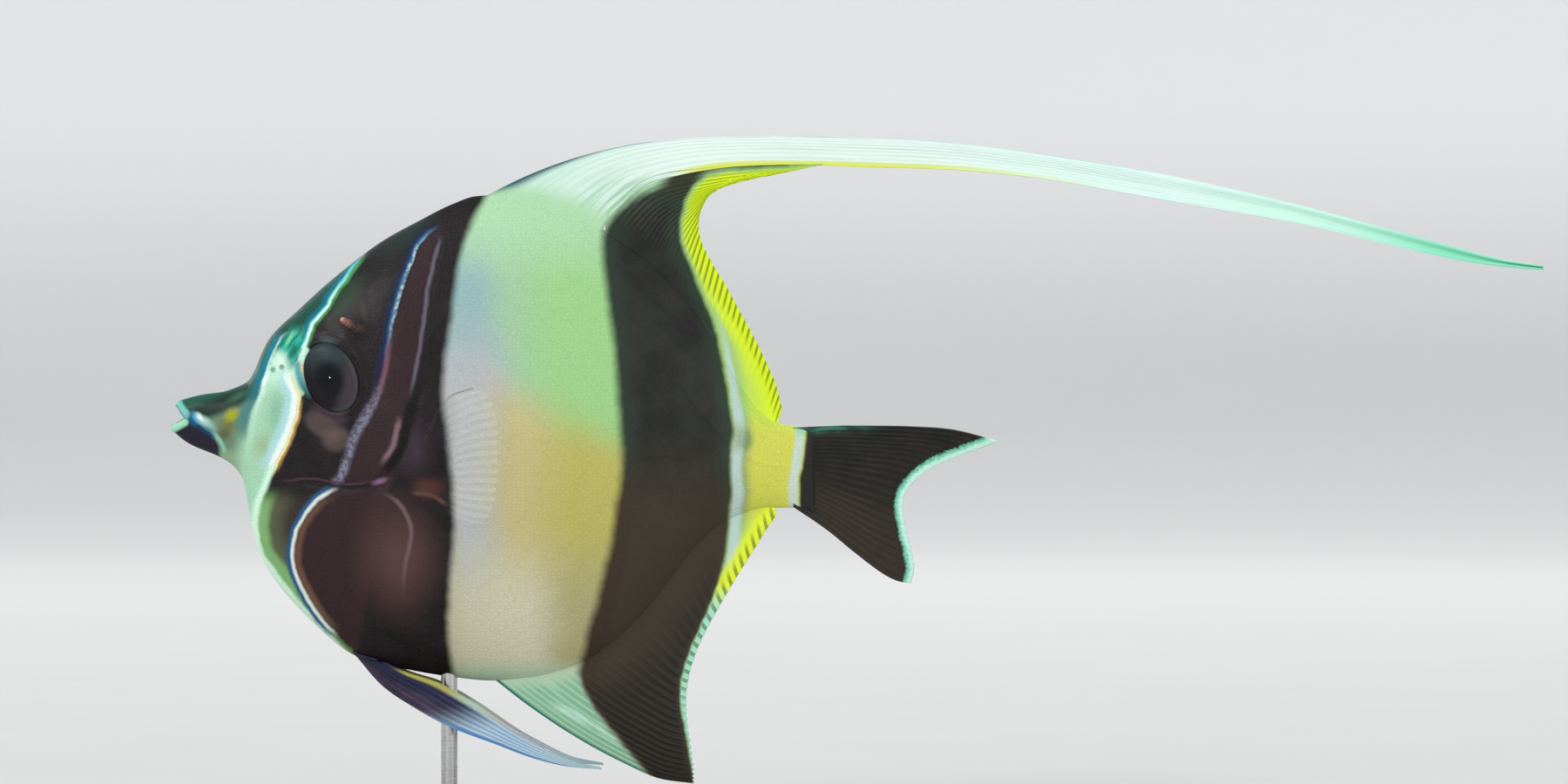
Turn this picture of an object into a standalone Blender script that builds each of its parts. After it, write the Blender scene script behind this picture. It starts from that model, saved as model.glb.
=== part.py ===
"""A moorish idol, life size, held over a small display stand by one rod.

The fish is drawn on a sheet in millimetres: X runs from the tip of the lower lip towards the
tail, Z is height above the middle of the tail stalk, and Y is the distance from the middle plane.
Its left side faces -Y and its head -X. In the scene the origin is the centre of the underside of
the stand's base.
"""

import math

import bmesh
import bpy
import numpy as np
from mathutils import Matrix, Vector

# Driving dimensions, in metres
TOTAL_LENGTH = 0.180  # lower lip to the tip of the tail's upper lobe
BASE_LENGTH = 0.124
BASE_WIDTH = 0.066
BASE_HEIGHT = 0.010
ROD_DIAMETER = 0.0036

# The sheet, in millimetres, drawn for a fish of 180 mm
SHEET_LENGTH = 180.0
UNIT = TOTAL_LENGTH / SHEET_LENGTH
GAP = 0.3  # kept between neighbouring pieces
FIN_CLEARANCE = 5.0  # from the lowest fin tip to the base
BASE_CENTRE_X = 70.0  # under the fish's centre of mass
LOWEST_FIN_Z = -69.2
BASE_TOP_Z = LOWEST_FIN_Z - FIN_CLEARANCE
FLOOR_Z = BASE_TOP_Z - BASE_HEIGHT / UNIT

# The body's outline and girth along X
BACK = [
    (-0.6, 8.7), (-0.2, 11.6), (0.8, 13.9), (2.9, 14.8), (6.7, 15.7), (10.5, 16.2), (13.3, 17.1),
    (16.2, 18.6), (18.0, 21.8), (19.4, 25.3), (21.3, 28.5), (26.6, 33.6), (34.2, 40.5),
    (45.6, 49.2), (53.2, 53.4), (60.8, 57.2), (66.0, 58.9), (72.2, 59.2), (83.6, 56.4),
    (93.7, 51.5), (101.7, 46.5), (109.3, 39.9), (115.0, 32.3), (119.7, 24.7), (123.5, 18.1),
    (127.3, 12.6), (131.1, 9.6), (136.0, 8.6),
]
BELLY = [
    (-0.6, 8.1), (0.9, 6.6), (3.4, 4.8), (10.5, 1.7), (13.3, -0.3), (15.2, -3.4), (16.0, -7.8),
    (16.8, -12.4), (19.0, -19.6), (22.4, -25.4), (27.6, -31.4), (33.3, -36.9), (38.0, -40.5),
    (43.7, -42.7), (60.8, -46.0), (69.4, -46.8), (77.9, -46.3), (87.4, -43.9), (95.0, -39.6),
    (101.7, -33.3), (107.4, -26.2), (112.1, -20.0), (116.9, -14.8), (122.6, -11.2), (129.2, -9.2),
    (136.0, -9.1),
]
HALF_WIDTH = [
    (-0.6, 0.5), (0.3, 1.4), (1.6, 2.0), (4.0, 2.4), (8.0, 2.9), (13.0, 3.9), (18.0, 5.3),
    (23.0, 6.9), (28.0, 8.1), (34.0, 9.1), (42.0, 10.4), (50.0, 11.4), (58.0, 11.7), (67.0, 11.3),
    (80.0, 9.9), (95.0, 8.0), (110.0, 5.6), (122.0, 3.7), (130.0, 2.6), (136.0, 1.9),
]
WIDEST_Z = [
    (-0.6, 8.4), (3.0, 10.2), (12.0, 10.0), (22.0, 13.0), (34.0, 17.0), (46.0, 12.0), (60.0, 5.0),
    (136.0, -0.3),
]
BACK_SHARPNESS = [(0.0, 0.95), (20.0, 1.0), (45.0, 1.15), (66.0, 1.55), (115.0, 1.65), (136.0, 1.0)]
BELLY_SHARPNESS = [(0.0, 0.9), (40.0, 1.0), (64.0, 1.1), (78.0, 1.55), (115.0, 1.65), (136.0, 1.0)]
STATION_SPANS = [
    (-0.6, 3.0, 5), (3.0, 14.0, 6), (14.0, 24.0, 9), (24.0, 64.0, 18), (64.0, 136.0, 24),
]
AROUND = 32
TAIL_BASE_X = 136.0

# How the swimming fish bends towards its right side, behind the widest part
BEND_START_X = 100.0
BEND_AT_TAIL_TIP = 2.2

# Where the body is parted
GILL_TOP = (58.9, 56.1)
GILL_FOOT = (38.0, -40.5)
STALK_X = 127.0
GILL_FLARE = 0.55  # how far the gill cover's hind edge stands off the shoulder
GILL_FLARE_Z = 5.0
GILL_FLARE_HEIGHT = 11.0
GILL_FLARE_LENGTH = 5.0

# The face
EYE = (35.1, 19.2)
EYE_RADII = (5.6, 7.7)
EYE_TILT = math.radians(26.0)  # the oval leans forwards
EYE_DEPTH = 3.6
EYE_SUNK = 2.3
EYE_RIM = (6.3, 8.5)
RIM_RADIUS = 0.75
RIM_SUNK = 0.25
RIM_STEPS = 28
HORN = (40.1, 30.0)
HORN_LENGTH = 4.2
HORN_RADIUS = 1.25
HORN_TIP = 0.18  # of its radius at the foot
HORN_LEAN = (0.65, -0.65, 0.4)  # outward, aft and up
NOSTRILS = [(22.1, 20.9), (24.1, 21.5)]
NOSTRIL_RADIUS = 0.6
MOUTH_CORNER = (2.6, 10.4)
MOUTH_GAP = [(-6.0, 13.4), (0.9, 13.0), MOUTH_CORNER, (0.9, 9.2), (-6.0, 8.4)]
JAW_OUTLINE = [(-6.0, 10.6), MOUTH_CORNER, (9.9, 5.0), (9.6, -4.0), (-6.0, -4.0)]
SNOUT_REACH = 8.0  # past the snout's sides, for the cuts through it
LIP_STEPS = 16
LIP_RADIUS = 0.62
UPPER_LIP = [(3.0, 11.2), (2.0, 12.3), (1.3, 13.2)]  # from the corner of the mouth to the front
UPPER_LIP_FRONT = (1.2, 13.5)
LOWER_LIP = [(2.5, 9.6), (1.2, 8.9), (0.3, 8.4)]
LOWER_LIP_FRONT = (0.0, 8.1)

# Beads, for the lips and the eyes' rims
BEAD_SIDES = 6
BEAD_END = 0.45  # of the radius at the middle
BEAD_UP = Vector((0.31, 0.11, 0.94))  # a direction that no bead runs along

# Fins: membrane and ray thickness at the root and at the edge
MEMBRANE = 0.55
RAY_ROOT = 1.15
RAY_EDGE = 0.6
SCALLOP = 0.35  # how far the membrane's edge falls back between ray tips

BANNER_ROOT_X = (66.0, 93.1)
BANNER_TOP = [
    (76.0, 62.9), (85.5, 66.6), (95.0, 69.2), (106.4, 70.8), (123.5, 71.6), (142.5, 71.6),
    (161.5, 71.1), (180.5, 69.2), (199.5, 66.5), (218.5, 63.2), (237.5, 59.1), (256.5, 54.4),
    (275.5, 49.4), (290.7, 45.5), (300.8, 44.0),
]
BANNER_FOOT = [
    (95.0, 54.2), (98.8, 58.1), (102.6, 60.8), (107.4, 62.7), (114.0, 64.2), (123.5, 65.4),
    (138.7, 65.6), (152.0, 65.2), (171.0, 64.6), (190.0, 62.7), (209.0, 59.5), (228.0, 56.2),
    (247.0, 53.0), (266.0, 48.6), (285.0, 44.7), (300.8, 43.1),
]
BANNER_LENGTHS = [
    ("dorsal_banner", 0.0, 0.3, 12), ("streamer_near", 0.3, 0.66, 9),
    ("streamer_tip", 0.66, 1.0, 9),
]
BANNER_RAYS = 6
BANNER_JOINT = 0.0006  # half the gap between two lengths, as a share of the whole

DORSAL_ROOT_X = (93.9, 131.3)
DORSAL_EDGE = [
    (140.2, 64.9), (133.0, 64.0), (126.4, 63.6), (121.2, 62.5), (117.4, 60.0), (115.1, 56.4),
    (114.4, 52.6), (115.1, 48.8), (117.4, 44.3), (120.7, 38.8), (123.5, 33.6), (126.5, 28.1),
    (129.4, 22.2), (131.3, 17.7), (132.6, 12.4),
]
DORSAL_FIRST_RAY = [
    (95.6, 53.7), (99.3, 57.5), (102.9, 60.3), (107.6, 62.2), (114.1, 63.7), (123.5, 64.9),
]
DORSAL_RAYS = 20
DORSAL_RAY_SHIFT = -0.02  # how far the middle rays reach down the edge

ANAL_ROOT_X = (69.0, 130.6)
ANAL_EDGE = [
    (113.4, -69.2), (113.3, -65.5), (112.7, -60.8), (111.9, -55.1), (111.8, -49.4),
    (112.9, -43.7), (115.5, -37.0), (119.0, -30.6), (123.0, -23.8), (126.9, -17.6),
    (129.6, -13.2), (131.4, -10.6),
]
ANAL_FIRST_RAY = [(76.0, -51.3), (83.6, -56.6), (91.2, -61.2), (98.8, -65.1), (105.5, -68.0)]
ANAL_RAYS = 18
ANAL_RAY_CROWDING = 1.4  # how much closer together the front rays end

TAIL_TOP_EDGE = [(144.4, 8.8), (152.0, 8.8), (161.5, 8.6), (170.1, 7.9)]
TAIL_FOOT_EDGE = [(142.5, -14.1), (148.2, -18.8), (153.9, -23.2), (157.7, -25.3)]
TAIL_EDGE = [
    (179.9, 5.4), (174.9, 3.5), (171.0, 2.1), (166.9, 0.4), (163.6, -1.6), (161.0, -4.0),
    (159.4, -6.6), (159.1, -9.6), (160.0, -14.3), (161.2, -19.2), (161.7, -22.6), (161.0, -25.9),
]
TAIL_ROOT_Z = (8.4, -8.9)
TAIL_RAYS = 13
TAIL_TWIST = 8.0  # how far the lower lobe's tip swings to the fish's right

PELVIC_ROOT = [(39.2, -41.6), (45.2, -43.6)]
PELVIC_FRONT = [
    (45.6, -47.7), (53.2, -52.8), (60.8, -56.8), (70.3, -60.3), (77.9, -63.1), (85.5, -65.0),
]
PELVIC_REAR = [
    (51.3, -44.9), (57.5, -46.9), (61.8, -49.1), (67.5, -52.6), (74.1, -57.2), (79.8, -60.5),
    (86.5, -63.7),
]
PELVIC_TIP = (93.5, -65.7)
PELVIC_TIP_REAR = (93.2, -65.2)
PELVIC_ROOT_Y = 1.9
PELVIC_SPREAD = 4.2
PELVIC_CANT = 0.8  # how much farther out the hind ray starts than the front one
PELVIC_RAYS = 5

PECTORAL_ROOT = [(54.9, 3.9), (55.6, -4.6)]
PECTORAL_TOP_RAY = [(57.8, 10.6), (61.4, 15.2)]
PECTORAL_FOOT_RAY = [(58.8, -7.8), (63.4, -10.9)]
PECTORAL_EDGE = [
    (66.6, 17.0), (70.2, 15.6), (72.2, 10.6), (72.6, 3.6), (72.2, -3.6), (71.2, -8.8), (69.0, -12.1),
]
PECTORAL_RAYS = 9
PECTORAL_SPREAD = 1.05  # rise of the fin away from the flank for each millimetre aft

# The stand
ROD_X = 60.0
ROD_IN_BODY = 5.0
ROD_IN_BASE = 6.0
BASE_EDGE_BEVEL = 0.0022
ROD_SIDES = 20
BASE_SIDES = 64

# Colour, roughness and metallic value of each node
DARK = ((0.035, 0.024, 0.026), 0.45, 0.0)
PALE = ((0.62, 0.62, 0.50), 0.42, 0.0)
YELLOW = ((0.66, 0.70, 0.07), 0.42, 0.0)
BANNER = ((0.74, 0.86, 0.80), 0.40, 0.0)
CLEAR = ((0.72, 0.74, 0.70), 0.35, 0.0)
EYE_GLOSS = ((0.012, 0.014, 0.018), 0.08, 0.0)
WOOD = ((0.10, 0.055, 0.032), 0.42, 0.0)
STEEL = ((0.62, 0.62, 0.63), 0.28, 1.0)


def hermite(knots, values, slopes):
    """The smooth curve through values at the knots that leaves each with its slope."""

    def at(where):
        i = int(np.clip(np.searchsorted(knots, where) - 1, 0, len(knots) - 2))
        span = knots[i + 1] - knots[i]
        t = min(max((where - knots[i]) / span, 0.0), 1.0)
        start = (1 + 2 * t) * (1 - t) ** 2 * values[i] + t * (1 - t) ** 2 * span * slopes[i]
        end = t * t * (3 - 2 * t) * values[i + 1] + t * t * (t - 1) * span * slopes[i + 1]
        return start + end

    return at


def graph(points):
    """A curve z(x) through the points that doesn't overshoot between them."""
    xs, zs = np.array(points, float).T
    rise = np.diff(zs) / np.diff(xs)
    slopes = np.concatenate([[rise[0]], np.zeros(len(xs) - 2), [rise[-1]]])
    for i in range(1, len(xs) - 1):
        if rise[i - 1] * rise[i] > 0:
            slopes[i] = 2 * rise[i - 1] * rise[i] / (rise[i - 1] + rise[i])
    return hermite(xs, zs, slopes)


def path(points):
    """A smooth line through the points, as a function of the share of its length from 0 to 1."""
    places = np.array(points, float)
    run = np.concatenate([[0.0], np.cumsum(np.linalg.norm(np.diff(places, axis=0), axis=1))])
    share = run / run[-1]
    inner = (places[2:] - places[:-2]) / (share[2:] - share[:-2])[:, None]
    first = (places[1] - places[0]) / (share[1] - share[0])
    last = (places[-1] - places[-2]) / (share[-1] - share[-2])
    return hermite(share, places, np.concatenate([[first], inner, [last]]))


back_z = graph(BACK)
belly_z = graph(BELLY)
half_width = graph(HALF_WIDTH)
widest_z = graph(WIDEST_Z)
back_sharpness = graph(BACK_SHARPNESS)
belly_sharpness = graph(BELLY_SHARPNESS)


def swim(x):
    """Sideways bend of the swimming fish at a point x along it."""
    return BEND_AT_TAIL_TIP * (max(0.0, x - BEND_START_X) / (SHEET_LENGTH - BEND_START_X)) ** 2


def in_scene(x, y, z):
    """A point of the sheet as a place in the scene, in metres."""
    return Vector((x - BASE_CENTRE_X, y, z - FLOOR_Z)) * UNIT


def gill_x(z):
    """Where the cut behind the gill cover lies at a height."""
    share = (z - GILL_FOOT[1]) / (GILL_TOP[1] - GILL_FOOT[1])
    return GILL_FOOT[0] + share * (GILL_TOP[0] - GILL_FOOT[0])


def flare(x, z):
    """The gill cover's hind edge, which lifts off the shoulder at mid-height."""
    ahead = (gill_x(z) - x) / GILL_FLARE_LENGTH
    height = (z - GILL_FLARE_Z) / GILL_FLARE_HEIGHT
    return GILL_FLARE * math.exp(-(ahead**2) - height**2)


def section(x):
    """Middle height, rise to the back, drop to the belly and half width of the body at x."""
    middle = min(max(widest_z(x), belly_z(x) + 0.2), back_z(x) - 0.2)
    return middle, back_z(x) - middle, middle - belly_z(x), half_width(x)


def flank_y(x, z):
    """Half width of the body at a place on its side."""
    middle, rise, drop, width = section(x)
    share = (z - middle) / (rise if z > middle else drop)
    sharpness = back_sharpness(x) if z > middle else belly_sharpness(x)
    return width * max(0.0, 1 - share * share) ** (sharpness / 2)


def skin_point(x, turn, lifted):
    """The body's surface at x and a turn from the belly (0) over the right side, back (0.5) and left side."""
    middle, rise, drop, width = section(x)
    angle = math.tau * turn - math.pi / 2
    up, out = math.sin(angle), math.cos(angle)
    sharpness = back_sharpness(x) if up > 0 else belly_sharpness(x)
    z = middle + (rise if up > 0 else drop) * up
    y = width * abs(out) ** sharpness
    if lifted:
        y += flare(x, z) * abs(out)
    return Vector((x, math.copysign(y, out), z))


def flank_frame(x, z, side):
    """A place on the flank (side -1 is the left) and the outward, backward and upward directions there."""
    step = 0.5
    slope_x = (flank_y(x + step, z) - flank_y(x - step, z)) / (2 * step)
    slope_z = (flank_y(x, z + step) - flank_y(x, z - step)) / (2 * step)
    outward = Vector((-slope_x, side, -slope_z)).normalized()
    aft = Vector((1.0, side * slope_x, 0.0)).normalized()
    return Vector((x, side * flank_y(x, z), z)), outward, aft, outward.cross(aft) * -side


def rim(x, above):
    """A place just off the body's edge, above the back or below the belly."""
    edge = back_z if above else belly_z
    step = 0.4
    slope = (edge(x + step) - edge(x - step)) / (2 * step)
    off = GAP * (1.15 if above else -1.15) / math.hypot(1.0, slope)
    return np.array([x - slope * off, edge(x) + off])


def make_material(name, colour, roughness, metallic):
    """A plain material for one node."""
    material = bpy.data.materials.new(name)
    material.use_nodes = True
    shader = material.node_tree.nodes["Principled BSDF"]
    shader.inputs["Base Color"].default_value = (*colour, 1.0)
    shader.inputs["Roughness"].default_value = roughness
    shader.inputs["Metallic"].default_value = metallic
    return material


def make_object(name, shape, finish):
    """Turns a bmesh drawn on the sheet into an object in the scene, bent as the fish swims."""
    bmesh.ops.triangulate(shape, faces=shape.faces[:])
    for vert in shape.verts:
        vert.co = in_scene(vert.co.x, vert.co.y, vert.co.z)
    mesh = bpy.data.meshes.new(name)
    shape.to_mesh(mesh)
    shape.free()
    thing = bpy.data.objects.new(name, mesh)
    bpy.context.scene.collection.objects.link(thing)
    if finish:
        mesh.materials.append(make_material(name, *finish))
    mesh.shade_smooth()
    mesh.set_sharp_from_angle(angle=math.radians(35))
    return thing


def face_outwards(shape):
    """Turns every face of a closed shape outwards."""
    shape.normal_update()
    bmesh.ops.recalc_face_normals(shape, faces=shape.faces[:])


def bend_shape(shape):
    """Bends a shape sideways with the swimming body."""
    for vert in shape.verts:
        vert.co.y += swim(vert.co.x)


def body_shell(lifted):
    """The whole body without fins, as one closed shape."""
    stations = []
    for start, end, steps in STATION_SPANS:
        stations += list(np.linspace(start, end, steps, endpoint=False))
    stations.append(TAIL_BASE_X)
    shape = bmesh.new()
    bmesh.ops.create_grid(shape, x_segments=len(stations) - 1, y_segments=AROUND, size=1.0)
    for vert in shape.verts:
        column = round((vert.co.x + 1) / 2 * (len(stations) - 1))
        vert.co = skin_point(stations[column], (vert.co.y + 1) / 2, lifted)
    bmesh.ops.remove_doubles(shape, verts=shape.verts[:], dist=1e-4)
    bmesh.ops.holes_fill(shape, edges=[edge for edge in shape.edges if edge.is_boundary], sides=0)
    bmesh.ops.triangulate(shape, faces=shape.faces[:])
    face_outwards(shape)
    return shape


def part_at(shape, point, normal):
    """Cuts a closed shape by a plane and keeps what lies behind its normal, closed again."""
    shape.faces.ensure_lookup_table()
    geometry = shape.verts[:] + shape.edges[:] + shape.faces[:]
    bmesh.ops.bisect_plane(shape, geom=geometry, plane_co=point, plane_no=normal, clear_outer=True, dist=1e-5)
    bmesh.ops.holes_fill(shape, edges=[edge for edge in shape.edges if edge.is_boundary], sides=0)
    face_outwards(shape)


def gill_plane(offset):
    """A point on the cut behind the gill cover, moved aft by an offset, and the cut's backward normal."""
    run, rise = GILL_TOP[0] - GILL_FOOT[0], GILL_TOP[1] - GILL_FOOT[1]
    normal = Vector((rise, 0.0, -run)).normalized()
    return Vector((GILL_FOOT[0], 0.0, GILL_FOOT[1])) + normal * offset, normal


def prism(name, outline):
    """A cutter: an outline on the sheet, drawn through the body from side to side."""
    shape = bmesh.new()
    near = [shape.verts.new((x, -SNOUT_REACH, z)) for x, z in outline]
    face = shape.faces.new(near)
    pushed = bmesh.ops.extrude_face_region(shape, geom=[face])["geom"]
    for vert in pushed:
        if isinstance(vert, bmesh.types.BMVert):
            vert.co.y = SNOUT_REACH
    face_outwards(shape)
    return make_object(name, shape, None)


def grown(outline, by):
    """An outline moved outwards on every side, corner by corner."""
    places = [np.array(point) for point in outline]
    area = sum(a[0] * b[1] - b[0] * a[1] for a, b in zip(places, places[1:] + places[:1]))
    turn = math.copysign(1.0, area)
    moved = []
    for before, here, after in zip(places[-1:] + places[:-1], places, places[1:] + places[:1]):
        middle = np.zeros(2)
        for side in (here - before, after - here):
            middle += np.array([side[1], -side[0]]) * turn / np.linalg.norm(side)
        moved.append(tuple(here + middle * (2 * by / (middle @ middle))))
    return moved


def ball(name, centre, radii, frame, segments, rings, finish=None):
    """A closed ball whose radii run outward, aft and up in a flank's own frame."""
    shape = bmesh.new()
    bmesh.ops.create_uvsphere(shape, u_segments=segments, v_segments=rings, radius=1.0)
    outward, aft, up = frame
    for vert in shape.verts:
        x, y, z = vert.co
        vert.co = centre + outward * (z * radii[0]) + aft * (x * radii[1]) + up * (y * radii[2])
    face_outwards(shape)
    return make_object(name, shape, finish)


def bead(name, places, radius, closed):
    """A round bead along places of the sheet, tapered to its ends unless it closes on itself."""
    shape = bmesh.new()
    last = len(places) - 1
    rings = []
    for i, place in enumerate(places):
        before = places[i - 1] if closed or i > 0 else place
        after = places[(i + 1) % len(places)] if closed or i < last else place
        along = (after - before).normalized()
        across = along.cross(BEAD_UP).normalized()
        size = radius if closed else radius * (BEAD_END + (1 - BEAD_END) * math.sin(math.pi * i / last))
        ring = bmesh.ops.create_circle(shape, cap_ends=False, segments=BEAD_SIDES, radius=size)["verts"]
        turn = Matrix((across, along.cross(across), along)).transposed()
        for vert in ring:
            vert.co = place + turn @ vert.co
        rings.append({edge for vert in ring for edge in vert.link_edges})
    following = rings[1:] + rings[:1] if closed else rings[1:]
    for first, second in zip(rings, following):
        bmesh.ops.bridge_loops(shape, edges=list(first | second))
    bmesh.ops.holes_fill(shape, edges=[edge for edge in shape.edges if edge.is_boundary], sides=0)
    face_outwards(shape)
    return make_object(name, shape, None)


def spike(name, foot, point):
    """A horn from its foot to its blunt point."""
    shape = bmesh.new()
    height = (point - foot).length
    tip = HORN_RADIUS * HORN_TIP
    bmesh.ops.create_cone(shape, cap_ends=True, segments=8, radius1=HORN_RADIUS, radius2=tip, depth=height)
    turn = (point - foot).to_track_quat("Z", "Y")
    for vert in shape.verts:
        vert.co = (foot + point) / 2 + turn @ vert.co
    return make_object(name, shape, None)


def combine(target, others, operation):
    """Joins others to the target, or cuts them from it or with it, applies that and removes the others."""
    group = bpy.data.collections.new(target.name + "_" + operation.lower())
    for other in others:
        group.objects.link(other)
    modifier = target.modifiers.new(operation.title(), "BOOLEAN")
    modifier.operation = operation
    modifier.solver = "EXACT"
    if operation == "INTERSECT":
        modifier.object = others[0]
    else:
        modifier.operand_type = "COLLECTION"
        modifier.collection = group
    graph_now = bpy.context.evaluated_depsgraph_get()
    result = bpy.data.meshes.new_from_object(target.evaluated_get(graph_now))
    target.modifiers.clear()
    target.data = result
    for other in others:
        bpy.data.objects.remove(other)
    bpy.data.collections.remove(group)
    keep_largest(target)


def keep_largest(thing):
    """Leaves only the largest closed surface of a mesh."""
    shape = bmesh.new()
    shape.from_mesh(thing.data)
    bmesh.ops.remove_doubles(shape, verts=shape.verts[:], dist=2e-6)
    bmesh.ops.dissolve_degenerate(shape, edges=shape.edges[:], dist=2e-6)
    left = set(shape.faces)
    bodies = []
    while left:
        reached, edge_of = {left.pop()}, []
        edge_of += list(reached)
        while edge_of:
            for edge in edge_of.pop().edges:
                for face in edge.link_faces:
                    if face in left:
                        left.discard(face)
                        reached.add(face)
                        edge_of.append(face)
        bodies.append(reached)
    bodies.sort(key=lambda faces: sum(face.calc_area() for face in faces), reverse=True)
    scraps = [face for faces in bodies[1:] for face in faces]
    bmesh.ops.delete(shape, geom=scraps, context="FACES")
    shape.to_mesh(thing.data)
    shape.free()


def make_eye(side, label):
    """One eye, and the socket that is cut for it."""
    surface, outward, aft, up = flank_frame(*EYE, side)
    cosine, sine = math.cos(EYE_TILT), math.sin(EYE_TILT)
    frame = outward, aft * cosine + up * sine, up * cosine - aft * sine
    centre = surface - outward * EYE_SUNK
    radii = (EYE_DEPTH, *EYE_RADII)
    ball("eye_" + label, centre, radii, frame, 28, 16, EYE_GLOSS)
    roomy = [radius + GAP for radius in radii]
    return ball("socket_" + label, centre, roomy, frame, 28, 16)


def make_rim(side, label):
    """The raised rim around an eye."""
    places = []
    cosine, sine = math.cos(EYE_TILT), math.sin(EYE_TILT)
    for i in range(RIM_STEPS):
        angle = math.tau * i / RIM_STEPS
        across, along = EYE_RIM[0] * math.cos(angle), EYE_RIM[1] * math.sin(angle)
        x = EYE[0] + across * cosine - along * sine
        z = EYE[1] + across * sine + along * cosine
        surface, outward, _, _ = flank_frame(x, z, side)
        places.append(surface - outward * RIM_SUNK)
    return bead("rim_" + label, places, RIM_RADIUS, True)


def make_horn(side, label):
    """The small horn above an eye."""
    surface, outward, aft, up = flank_frame(*HORN, side)
    lean = outward * HORN_LEAN[0] + aft * HORN_LEAN[1] + up * HORN_LEAN[2]
    return spike("horn_" + label, surface - outward * HORN_RADIUS, surface + lean.normalized() * HORN_LENGTH)


def make_lip(name, line, front):
    """A lip from one corner of the mouth around the front to the other."""
    left = [(x, -flank_y(x, z), z) for x, z in line]
    right = [(x, -y, z) for x, y, z in reversed(left)]
    route = path(left + [(front[0], 0.0, front[1])] + right)
    places = [Vector(route(i / LIP_STEPS)) for i in range(LIP_STEPS + 1)]
    return bead(name, places, LIP_RADIUS, False)


def make_head():
    """The head with its eye sockets, rims, horns, nostrils and lips, and the lower jaw parted from it."""
    shape = body_shell(lifted=True)
    point, normal = gill_plane(-GAP / 2)
    part_at(shape, point, normal)
    head = make_object("head", shape, DARK)
    raised, cutters = [], [prism("mouth", MOUTH_GAP)]
    for side, label in ((-1, "left"), (1, "right")):
        raised += [make_rim(side, label), make_horn(side, label)]
        cutters.append(make_eye(side, label))
        for i, (x, z) in enumerate(NOSTRILS):
            surface, *frame = flank_frame(x, z, side)
            radii = (NOSTRIL_RADIUS,) * 3
            cutters.append(ball(f"nostril_{label}_{i}", surface, radii, frame, 8, 6))
    combine(head, raised, "UNION")
    combine(head, cutters, "DIFFERENCE")
    jaw = bpy.data.objects.new("lower_jaw", head.data.copy())
    bpy.context.scene.collection.objects.link(jaw)
    jaw.data.materials[0] = make_material("lower_jaw", *DARK)
    combine(jaw, [prism("jaw_block", JAW_OUTLINE)], "INTERSECT")
    combine(head, [prism("jaw_room", grown(JAW_OUTLINE, GAP))], "DIFFERENCE")
    combine(head, [make_lip("upper_lip", UPPER_LIP, UPPER_LIP_FRONT)], "UNION")
    combine(jaw, [make_lip("lower_lip", LOWER_LIP, LOWER_LIP_FRONT)], "UNION")


def make_trunk():
    """The torso, with the rod's socket in its belly, and the stalk that carries the tail fin."""
    shape = body_shell(lifted=False)
    point, normal = gill_plane(GAP / 2)
    part_at(shape, point, -normal)
    part_at(shape, Vector((STALK_X - GAP / 2, 0, 0)), Vector((1, 0, 0)))
    bend_shape(shape)
    torso = make_object("torso", shape, PALE)
    top = belly_z(ROD_X) + ROD_IN_BODY
    combine(torso, [rod_shape("rod_socket", ROD_DIAMETER / 2 / UNIT + GAP, LOWEST_FIN_Z, top)], "DIFFERENCE")
    shape = body_shell(lifted=False)
    part_at(shape, Vector((STALK_X + GAP / 2, 0, 0)), Vector((-1, 0, 0)))
    bend_shape(shape)
    make_object("tail_stalk", shape, YELLOW)


def patch(root, edge, first, last, calm):
    """A fin's surface between its root and outer edge, which follows its first and last ray.

    calm says how fast the bulge of those two rays dies away from them."""

    def at(u, v):
        ruled = (1 - v) * root(u) + v * edge(u)
        front = first(v) - ((1 - v) * first(0.0) + v * first(1.0))
        rear = last(v) - ((1 - v) * last(0.0) + v * last(1.0))
        return ruled + (1 - u) ** calm * front + u**calm * rear

    return at


def fin(name, surface, rays, rows, finish, span=(0.0, 1.0), scalloped=True):
    """A thin fin with its rays as ridges, drawn alike on both faces.

    surface(u, v) gives a point of its middle sheet, with u across the rays and v from the root
    to the edge."""
    columns = 2 * rays
    shape = bmesh.new()
    bmesh.ops.create_grid(shape, x_segments=columns, y_segments=rows, size=1.0)
    bmesh.ops.triangulate(shape, faces=shape.faces[:])
    pushed = bmesh.ops.extrude_face_region(shape, geom=shape.faces[:])["geom"]
    far = {item for item in pushed if isinstance(item, bmesh.types.BMVert)}
    step = 0.004
    for vert in shape.verts:
        column = round((vert.co.x + 1) / 2 * columns)
        u = column / columns
        v = span[0] + (vert.co.y + 1) / 2 * (span[1] - span[0])
        on_ray = column % 2 == 0
        middle = Vector(surface(u, v))
        across = Vector(surface(min(u + step, 1.0), v)) - Vector(surface(max(u - step, 0.0), v))
        along = Vector(surface(u, min(v + step, 1.0))) - Vector(surface(u, max(v - step, 0.0)))
        if scalloped and not on_ray and v == span[1]:
            middle -= along.normalized() * SCALLOP
        ray = RAY_ROOT + (RAY_EDGE - RAY_ROOT) * v
        half = (ray if on_ray else MEMBRANE) / 2
        vert.co = middle + across.cross(along).normalized() * (half if vert in far else -half)
    face_outwards(shape)
    return make_object(name, shape, finish)


def upright(flat):
    """Stands a flat sheet of (x, z) points in the middle plane, bent with the body."""

    def at(u, v):
        x, z = flat(u, v)
        return (x, swim(x), z)

    return at


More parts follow.
